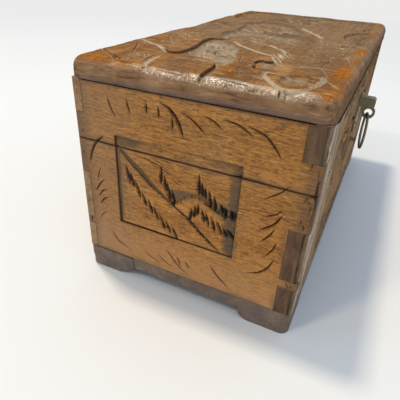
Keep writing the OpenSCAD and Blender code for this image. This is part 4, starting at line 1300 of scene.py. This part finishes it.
def top_relief():
    """The lid's landscape of rocks, in the shared frame's X and Y."""
    cuts = [
        # near left: between the smooth corner and the rock with a blossom
        pale([(-119, 81), (-128, 70), (-135, 61), (-141, 54), (-145, 47), (-145.5, 41), (-142, 38)], 2.3,
             1.1, lean=0.2, blunt=0.35),
        Stroke([(-131, 62), (-138, 54), (-142.5, 46), (-142, 41)], 1.4, depth=1.3, stain_and_shade=0.75),
        # under the blossom rock
        pale([(-150.5, 26), (-148, 29), (-141, 32.5), (-130, 35.5), (-118, 37)], 3.4, 1.3, lean=0.3,
             blunt=0.35, shade=0),
        pale([(-149, 32), (-145, 31), (-143, 34)], 1.6, 1.0, dust=0.9),
        Stroke([(-140, 36.5), (-131, 39.5), (-118, 41)], 1.8, depth=1.2, stain_and_shade=0.7),
        # under the great rear rock
        pale([(-81, 82), (-86, 70), (-91, 62), (-96, 52), (-104, 43), (-109, 38)], 3.4, 1.4, lean=0.3,
             blunt=0.35, shade=0),
        Groove([(-95, 55), (-100, 47), (-106, 39), (-106, 34), (-100, 32.5), (-94, 32.5), (-75, 33.5),
                (-61, 36.5), (-49, 37.5), (-44, 32), (-49, 22)], depth=2.6, steep=1.3, slope=5.5,
               stain_and_shade=0.85, climb=0.1, ends=(0.2, 0.12)),
        Stroke([(-113, 38.5), (-109, 33)], 2.4, depth=1.8, stain_and_shade=0.95),
        # between the smooth near rock and the hollow
        Groove([(-153, -3), (-149, -2.2), (-137, -0.8), (-124, 0.3), (-118, 2), (-113, 4.5), (-110, 9),
                (-109.5, 16), (-109.5, 25), (-106, 33)], depth=2.6, steep=1.1, slope=4.5, stain_and_shade=0.95,
               climb=0.0, ends=(0.05, 0.1)),
        Hollow([(-99, 29), (-86, 32.5), (-71, 33.5), (-50, 34.5), (-46, 28), (-55, 16), (-64, 8), (-80, 2),
                (-96, -3), (-110, -5), (-122, -4), (-117, 1), (-111, 8), (-109, 16), (-108, 27)], depth=1.9,
               wall=3.0, stain_and_shade=0.15),
        # jagged crack in front of the fan, and the pale chip before it
        Groove([(-116, -19.5), (-112, -17.5), (-109, -18), (-104, -16.5), (-101, -14.8), (-98, -15.6),
                (-95.5, -17), (-95.5, -22), (-92, -26)], depth=2.0, steep=1.0, slope=4.0, stain_and_shade=0.95,
               dust=0.2, climb=0, ends=(0.1, 0.15)),
        Hollow([(-107, -19), (-98, -18), (-96, -25), (-103, -30), (-111, -28.5), (-113, -23)], depth=1.5,
               wall=1.5, stain_and_shade=0.05),
        # oval boss by the near edge
        Groove([(-116, -26), (-127, -27.5), (-135, -33), (-143, -39), (-147, -44), (-147.5, -50),
                (-141, -53.5), (-130, -57), (-118, -57.5), (-108, -56)], depth=1.7, steep=1.5, slope=1.5,
               stain_and_shade=0.9, climb=0.9, ends=(0.08, 0.12)),
        pale([(-145.5, -44), (-149, -46), (-154, -47)], 2.4, 1.4, lean=0.5, dust=0.9),
        Stroke([(-145, -42), (-152, -43.4)], 1.5, depth=1.2, stain_and_shade=0.95),
        Hollow([(-139, -44), (-136, -50), (-127, -52), (-116, -50), (-117, -42), (-127, -37), (-135, -38)],
               depth=1.3, wall=2.5, ground=0.3, stain_and_shade=0.6),
        Stroke([(-142.5, -44), (-140, -50), (-137, -54)], 2.0, depth=1.0, stain_and_shade=0.95),
        Stroke([(-135, -36), (-138, -41), (-138, -47)], 1.3, depth=0.8, stain_and_shade=0.8),
        # long pale lines over the middle rock
        Groove([(-46, 20), (-61, 8), (-72, -6), (-79, -20)], depth=1.2, steep=1.0, slope=1.5, stain_and_shade=0.6,
               climb=1),
        Groove([(-40, 7), (-49, -8), (-57, -18), (-66, -24)], depth=1.2, steep=1.0, slope=1.5, stain_and_shade=0.6,
               climb=1),
        pale([(-89, -2), (-98, -5), (-108, -8)], 1.3, 0.9),
        pale([(-91, 70), (-99, 66), (-107, 62), (-113, 59), (-118, 55.5)], 1.9, 1.1, belly=0.75),
        pale([(-42, 71), (-58, 65), (-68, 59), (-81, 50), (-89, 43)], 1.6, 0.9),
        pale([(-91, -38), (-90, -47), (-98, -53), (-114, -59)], 1.3, 0.9),
        pale([(-119, -58), (-125, -63), (-132, -67.5)], 2.2, 1.1),
        pale([(-62, -50), (-72, -52), (-84, -50)], 1.4, 0.9, dust=0.9),
        pale([(-52, -58), (-64, -62), (-74, -63)], 1.3, 0.9, dust=0.9),
        # far half: a crescent rock, clouds, and a rosette
        Groove([(16, 12), (13, 0), (12, -6), (10, -15), (2, -24), (-12, -29), (-26, -28)], depth=3.0,
               steep=1.6, slope=7.0, stain_and_shade=0.9, dust=0.4),
        Groove([(52, -5), (36, -17), (22, -26), (9, -33)], depth=1.6, steep=1.2, slope=4.0, stain_and_shade=0.2,
               climb=1),
        Groove([(10, 44), (4, 38), (2, 30), (5, 22)], depth=2.9, steep=1.4, slope=4.0, stain_and_shade=0.9),
        Groove([(40, 50), (46, 42), (44, 32), (36, 26)], depth=2.9, steep=1.4, slope=4.0, stain_and_shade=0.7),
        Hollow([(-21, 77), (-16, 63), (-6, 52), (8, 46.5), (22, 48), (34, 58), (38, 77)], depth=2.2,
               wall=2.0, ground=0.7),
        Hollow([(-2, -62.5), (5, -55), (20, -46.5), (42, -45), (57, -52), (62, -62.5), (30, -63)],
               depth=2.2, wall=2.0, ground=0.7),
        Hollow([(72, 64), (76, 44), (74, 24), (76, 4), (70, -12), (72, -34), (68, -54), (84, -60),
                (112, -60), (136, -58), (139, -30), (139, 4), (139, 40), (136, 66), (112, 70), (88, 70)],
               depth=2.2, wall=2.0, ground=0.8),
        Hollow([(-22, -50), (-12, -49), (-8, -55), (-13, -61), (-22, -58)], depth=2.0, wall=1.6),
        Hollow([(-42, 30), (-30, 38), (-14, 40), (2, 38), (24, 40), (48, 44), (66, 34), (66, 14), (56, 2),
                (44, -4), (30, -12), (18, -18), (14, 0), (10, 14), (2, 6), (2, -14), (-10, -22), (-26, -18),
                (-38, -2), (-44, 14)], depth=2.2, wall=3.0, ground=0.9),
    ]
    # thick varnish: x, y, reach along x and y, strength
    cuts += [Spot(*row) for row in [
        (-146, 62, 12, 14, 0.95), (-148, 45, 7, 6), (-136, 47, 3, 4), (-148, 14, 4, 16, 0.9),
        (-94, -1, 9, 3, 0.6), (-127, -9, 5, 4), (-138, -49, 3, 4), (-145, -64, 8, 5, 1.0),
        (-132, -69, 14, 6, 1.0), (-98, -64, 22, 6, 1.0), (-30, -66, 14, 5, 1.0), (-58, -68, 10, 5, 0.8),
        (-70, 66, 14, 8, 0.5), (-34, 66, 10, 8, 0.6), (-52, 50, 12, 6, 0.4), (60, -68, 24, 5, 0.7),
        (120, -66, 12, 7, 0.8), (144, 60, 8, 14, 0.8), (30, 70, 22, 6, 0.5), (96, 68, 18, 7, 0.6),
    ]]
    cuts += [Spot(*row, name="umber") for row in [
        (-130, -20, 20, 14, 0.85), (-112, -12, 12, 8, 0.6), (-80, -40, 26, 16, 0.55),
        (-132, 18, 14, 14, 0.35), (-98, -58, 34, 9, 0.6), (-60, -14, 14, 10, 0.5), (-106, 50, 10, 8, 0.4),
        (-122, -60, 14, 8, 0.6), (-40, -52, 24, 14, 0.5), (20, -58, 20, 10, 0.5), (90, 20, 26, 14, 0.4),
        (128, -50, 14, 16, 0.5), (0, 62, 16, 10, 0.3), (128, 30, 14, 20, 0.4), (66, -20, 16, 12, 0.4),
    ]]
    # grooves cut side by side, following the rocks
    cuts += many(fan, [
        # the guide lines, how many, width, seed, dust, stain_and_shade, depth
        ([(-148, 26), (-149, 12), (-150, 2)], [(-114, 31), (-115, 20), (-116, 7)], 15, 1.3, 21, 0.5, 0.6,
         0.6),
        ([(-147, -6), (-148, -20), (-149, -38)], [(-112, -10), (-119, -16), (-124, -24)], 13, 1.3, 22, 0.3,
         0.6, 0.6),
        ([(-86, -4), (-92, -9), (-97, -13)], [(-62, -22), (-80, -26), (-92, -30)], 5, 1.2, 23, 0.6, 0, 0.5),
        ([(-70, -12), (-86, -20), (-107, -31)], [(-50, -19), (-66, -27), (-84, -35)], 6, 2.2, 24, 1.0, 0,
         1.1),
        ([(-58, -24), (-61, -42), (-64, -66)], [(-104, -33), (-106, -46), (-110, -60)], 17, 1.6, 25, 0.9,
         0.6, 0.9),
        ([(-112, -34), (-110, -50), (-114, -62)], [(-104, -35), (-100, -50), (-104, -62)], 4, 1.2, 35, 0.3,
         0.3, 0.5),
        ([(-118, -61), (-122, -66), (-126, -70)], [(-142, -56), (-147, -61), (-149, -66)], 6, 1.2, 36, 0.3,
         0.5, 0.5),
        ([(-30, -30), (-33, -46), (-36, -68)], [(-56, -28), (-58, -46), (-60, -66)], 9, 1.5, 26, 0.5, 0.4,
         0.7),
        ([(-46, 60), (-58, 54), (-74, 44)], [(-12, 34), (-24, 28), (-38, 22)], 8, 1.3, 27, 0.4, 0.35, 0.5),
        ([(22, 8), (24, -8), (16, -22)], [(48, 2), (44, -6), (34, -14)], 7, 1.1, 28, 0.6, 0, 0.5),
    ])
    cuts += many(rock, [
        # outline, how many strata, and the stretch of the outline that they repeat
        ([(90, -56), (78, -38), (84, -18), (100, -8), (118, -16), (130, -34), (128, -54), (110, -60)], 6,
         0.15, 0.65),
        ([(96, 66), (86, 48), (94, 30), (110, 22), (126, 30), (134, 48), (130, 64), (112, 70)], 6, 0.15,
         0.65),
        ([(-9, 74), (-2, 58), (12, 54), (25, 61), (27, 74)], 4, 0.1, 0.7),
    ])
    cuts += many(pine, [(85.5, 16, 8.5), (97, 2, 8.5), (112, 8, 9), (126, 0, 8), (124, 16, 7), (16, -57, 8),
                        (32, -54, 7), (48, -57, 7)])
    cuts += rock([(20, 30), (22, 16), (34, 8), (48, 12), (56, 24), (50, 36), (34, 40)], 4, 0.3, 0.8,
                 level=0.9)
    cuts += rock([(-34, 22), (-32, 6), (-20, -4), (-8, 0), (-6, 14), (-14, 28), (-26, 32)], 4, 0.3, 0.8,
                 level=1.1)
    cuts += many(fan, [
        # the guide lines, how many, width, seed, dust, stain_and_shade, depth
        ([(-40, 72), (-52, 60), (-66, 48)], [(-26, 74), (-30, 60), (-40, 46)], 7, 1.2, 29, 0.6, 0, 0.4),
        ([(-6, -44), (4, -34), (22, -30)], [(-24, -44), (-20, -34), (-16, -30)], 7, 1.2, 34, 0.6, 0, 0.45),
        ([(66, -20), (58, -34), (60, -44)], [(50, -14), (36, -24), (28, -38)], 8, 1.2, 37, 0.6, 0, 0.5),
        ([(68, 62), (62, 50), (66, 40)], [(46, 72), (46, 56), (52, 48)], 6, 1.1, 38, 0.6, 0, 0.45),
    ])
    cuts += many(pecks, [
        # where, how many, length, width, way in degrees, seed, dust, stain_and_shade, depth
        ([(-130, -8), (-106, -10), (-84, -12), (-74, -28), (-110, -32), (-140, -28)], 26, 6.0, 1.5, 20, 48,
         0.5, 0.1, 0.4),
        ([(-146, 24), (-116, 28), (-113, 8), (-148, 2)], 18, 8.0, 1.4, 5, 49, 0.25, 0.5, 0.4),
        ([(-100, 76), (-40, 74), (-30, 50), (-60, 42), (-92, 50)], 26, 6.0, 1.6, 30, 50, 0.5, 0, 0.4),
        ([(-70, -30), (-10, -32), (0, -66), (-60, -68)], 34, 6.0, 1.6, 15, 51, 0.6, 0, 0.5),
        # loose chips: a blossom, crumbling ground
        ([(-122, 56), (-119, 44), (-137, 38), (-143, 44), (-136, 54)], 34, 5.0, 1.9, 30, 41, 0.7, 0.3, 0.9),
        ([(-98, 29), (-52, 33), (-58, 14), (-80, 3), (-106, 0), (-106, 20)], 60, 7.0, 2.2, 60, 42, 0.7, 0.0,
         0.8),
        ([(-98, 27), (-56, 31), (-66, 12), (-104, 8)], 14, 7.0, 1.3, 50, 46, 0, 0.3, 0.9),
        ([(-139, -44), (-136, -50), (-117, -50), (-118, -42), (-130, -37)], 22, 5.0, 1.9, 80, 43, 0.7, 0.3,
         0.8),
        ([(-38, 28), (-4, 34), (0, 4), (-2, -14), (-34, -4)], 60, 7.0, 2.2, 80, 47, 0.7, 0, 0.6),
        ([(14, 36), (58, 40), (60, 12), (20, -8)], 54, 7.0, 2.0, 80, 44, 0.7, 0, 0.6),
        ([(76, 62), (78, -10), (134, -4), (134, 20), (88, 26)], 30, 5.0, 1.8, 20, 45, 0.7, 0, 0.5),
    ])
    for cut in cuts:
        for shape in ("line", "loop"):
            if hasattr(cut, shape):
                setattr(cut, shape, getattr(cut, shape) - (0, MIDDLE_Y))
    return cuts


def top_board():
    loop = top_outline(RIM_R)
    cuts = top_relief()
    rim_wear = 0.8

    def carve(field):
        p, q = field.points.T
        for cut in cuts:
            cut.cut(field)
        r, _, _ = beyond(p, q)
        field.keep(1 - ease((r - 7.5) / 4.0))
        swell = 0.22 * ripple(field.points, size=30, seed=3)
        field.depth += 0.25 + swell + 0.05 * ripple(field.points, size=7, seed=4)
        into = np.clip(r - (RIM_R - rim_wear), 0, rim_wear)
        field.depth += rim_wear - np.sqrt(rim_wear ** 2 - into ** 2)
        # the rounded rim takes the edge's colour, its painted shade with it
        field.mark("grime_and_shade", ease((r - 5) / 4))
        # along the near end, but not at its corners, a painted highlight band lies on the rounded edge, which
        # is polished and carries painted highlight specks
        near_end = ease((-p - INNER_X) / 2) * band(q, -70, -56, 10, 40)
        field.mark("dust", 0.55 * near_end * band(r, 2.5, 4, 5, 7.5))
        field.mark("polish_and_highlight", (0.15 + 0.85 * near_end) * band(r, 2.5, 5, 8.5, 11.5))

    lines = [line for cut in cuts for line in cut.creases()] + [top_outline(RIM_R - 0.4)]
    obj = closed_board("top_board_carved", loop, lines, carve, place_top, thickness=TOP_T, step=1.05,
                       materials=[TOP_WOOD, INSIDE_LONG], wall_kind=lambda a, b: BACK)
    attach(obj, "lid")
    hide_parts("top_board")


CHIPS_IN = 2  # how far in from the corners the chips run down
END_CUTS = end_carving()
END_CUTS += corner_chips(HALF_W - CHIPS_IN, seed=71) + corner_chips(CHIPS_IN - HALF_W, seed=72)
end_board("lid_left_end_carved", "lid_left_end", "lid", -1, LID_Z, TOP_Z, END_CUTS, gape=0.65)
end_board("left_end_carved", "left_end_board", "body", -1, WALL_Z, BODY_Z, END_CUTS)
end_board("lid_right_end_carved", "lid_right_end", "lid", 1, LID_Z, TOP_Z, END_CUTS)
end_board("right_end_carved", "right_end_board", "body", 1, WALL_Z, BODY_Z, END_CUTS)
FRONT_CUTS = front_relief()
FRONT_CUTS += corner_chips(CHIPS_IN - HALF_L, seed=73) + corner_chips(HALF_L - CHIPS_IN, seed=74)
front_board("lid_front_carved", "lid_front_board", "lid", LID_Z, TOP_Z, FRONT_CUTS)
front_board("front_carved", "front_board", "body", WALL_Z, BODY_Z, FRONT_CUTS)
top_board()


# CAD nodes that stay

def dress(nodes, material, bevel=0.0):
    """Gives CAD nodes their material, and softens their arrises by a bevel in millimetres."""
    for name in nodes:
        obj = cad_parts[name]
        obj.data.materials.clear()
        obj.data.materials.append(material)
        if bevel:
            weld = obj.modifiers.new("weld", "WELD")
            weld.merge_threshold = 1e-6
            soften = obj.modifiers.new("soften", "BEVEL")
            soften.width = bevel * MM
            soften.segments = 2
            soften.limit_method = "ANGLE"
            soften.angle_limit = math.radians(40)
            soften.harden_normals = True


dress(["lid_back_board", "back_board"], LONG_WOOD)
dress(["bottom_plank_front", "bottom_plank_back", "foot_front_left", "foot_front_right", "foot_back_left",
       "foot_back_right"], BASE_WOOD, 0.6)
METAL_NAMES = ("hinge_", "lid_plate", "catch_", "pull_", "drop_")
dress([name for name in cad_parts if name.startswith(METAL_NAMES)], BRASS)


# Floor, light and camera

BACKDROP = linear(236, 236, 235)


def seen_directly(tree):
    """1 for what the camera, a mirror or glass sees, 0 for what only lights the object."""
    path = tree.nodes.new("ShaderNodeLightPath")
    share = path.outputs["Is Camera Ray"]
    for kind in ("Is Glossy Ray", "Is Transmission Ray"):
        either = tree.nodes.new("ShaderNodeMath")
        either.operation = "MAXIMUM"
        tree.links.new(share, either.inputs[0])
        tree.links.new(path.outputs[kind], either.inputs[1])
        share = either.outputs[0]
    return share


def mix_into(tree, output, share, first, second):
    """Mixes two shaders and links them to the tree's output."""
    both = tree.nodes.new("ShaderNodeMixShader")
    tree.links.new(share, both.inputs[0])
    tree.links.new(first.outputs[0], both.inputs[1])
    tree.links.new(second.outputs[0], both.inputs[2])
    tree.links.new(both.outputs[0], tree.nodes[output].inputs["Surface"])


def add_floor():
    """Pale floor, which fades into the plain background far from the object."""
    paint = Paint("pale_floor")
    clouds = paint.noise(paint.place, 3, 2)
    material = paint.finish(paint.mix(clouds, (234, 227, 211), (238, 232, 219)), 0.6)
    away = paint.add("ShaderNodeVectorMath", {0: paint.place}, operation="LENGTH").outputs["Value"]
    share = paint.times(seen_directly(paint.tree), paint.fit(away, 0.45, 1.8))
    plain = paint.add("ShaderNodeEmission", {"Color": BACKDROP, "Strength": 1.0})
    mix_into(paint.tree, "Material Output", share, paint.shader, plain)
    bpy.ops.mesh.primitive_plane_add(size=12, location=(0, 0, 0))
    floor = bpy.context.object
    floor.name = "floor"
    floor.data.materials.append(material)


def add_world():
    """Even pale light all round, a little blue as daylight is, and a plain pale background."""
    world = bpy.data.worlds.new("studio")
    bpy.context.scene.world = world
    world.use_nodes = True
    tree = world.node_tree
    light = tree.nodes["Background"]
    light.inputs["Color"].default_value = linear(198, 219, 254)
    light.inputs["Strength"].default_value = 0.9
    plain = tree.nodes.new("ShaderNodeBackground")
    plain.inputs["Color"].default_value = BACKDROP
    plain.inputs["Strength"].default_value = 1.0
    mix_into(tree, "World Output", seen_directly(tree), light, plain)


def add_area(name, location, target, size, power, colour):
    """A square lamp, sizes in metres and power in watts."""
    data = bpy.data.lights.new(name, "AREA")
    data.shape = "SQUARE"
    data.size = size
    data.energy = power
    data.color = colour
    lamp = bpy.data.objects.new(name, data)
    bpy.context.scene.collection.objects.link(lamp)
    lamp.location = location
    lamp.rotation_euler = (Vector(target) - Vector(location)).to_track_quat("-Z", "Y").to_euler()


def add_camera():
    """The photograph's viewpoint, from a pinhole camera fitted to the box's corners."""
    focal_px, image_px, sensor = 397.2, 400, 36.0
    data = bpy.data.cameras.new("camera")
    data.sensor_width = sensor
    data.lens = focal_px / image_px * sensor
    camera = bpy.data.objects.new("camera", data)
    bpy.context.scene.collection.objects.link(camera)
    camera.location = (-327.7 * MM, -86.2 * MM, 200.15 * MM)
    camera.rotation_euler = [math.radians(a) for a in (58.38, -2.54, -64.35)]
    bpy.context.scene.camera = camera


add_floor()
add_world()
add_area("overhead", (0.12, 0.7, 2.5), (0, 0, 0.05), 0.24, 32.6, (1.0, 0.93, 0.81))
add_area("near_end", (-1.4, 0.84, 2.1), (-0.15, 0, 0.1), 0.28, 11.6, (1.0, 0.91, 0.72))
add_camera()
bpy.context.scene.view_settings.view_transform = "Standard"
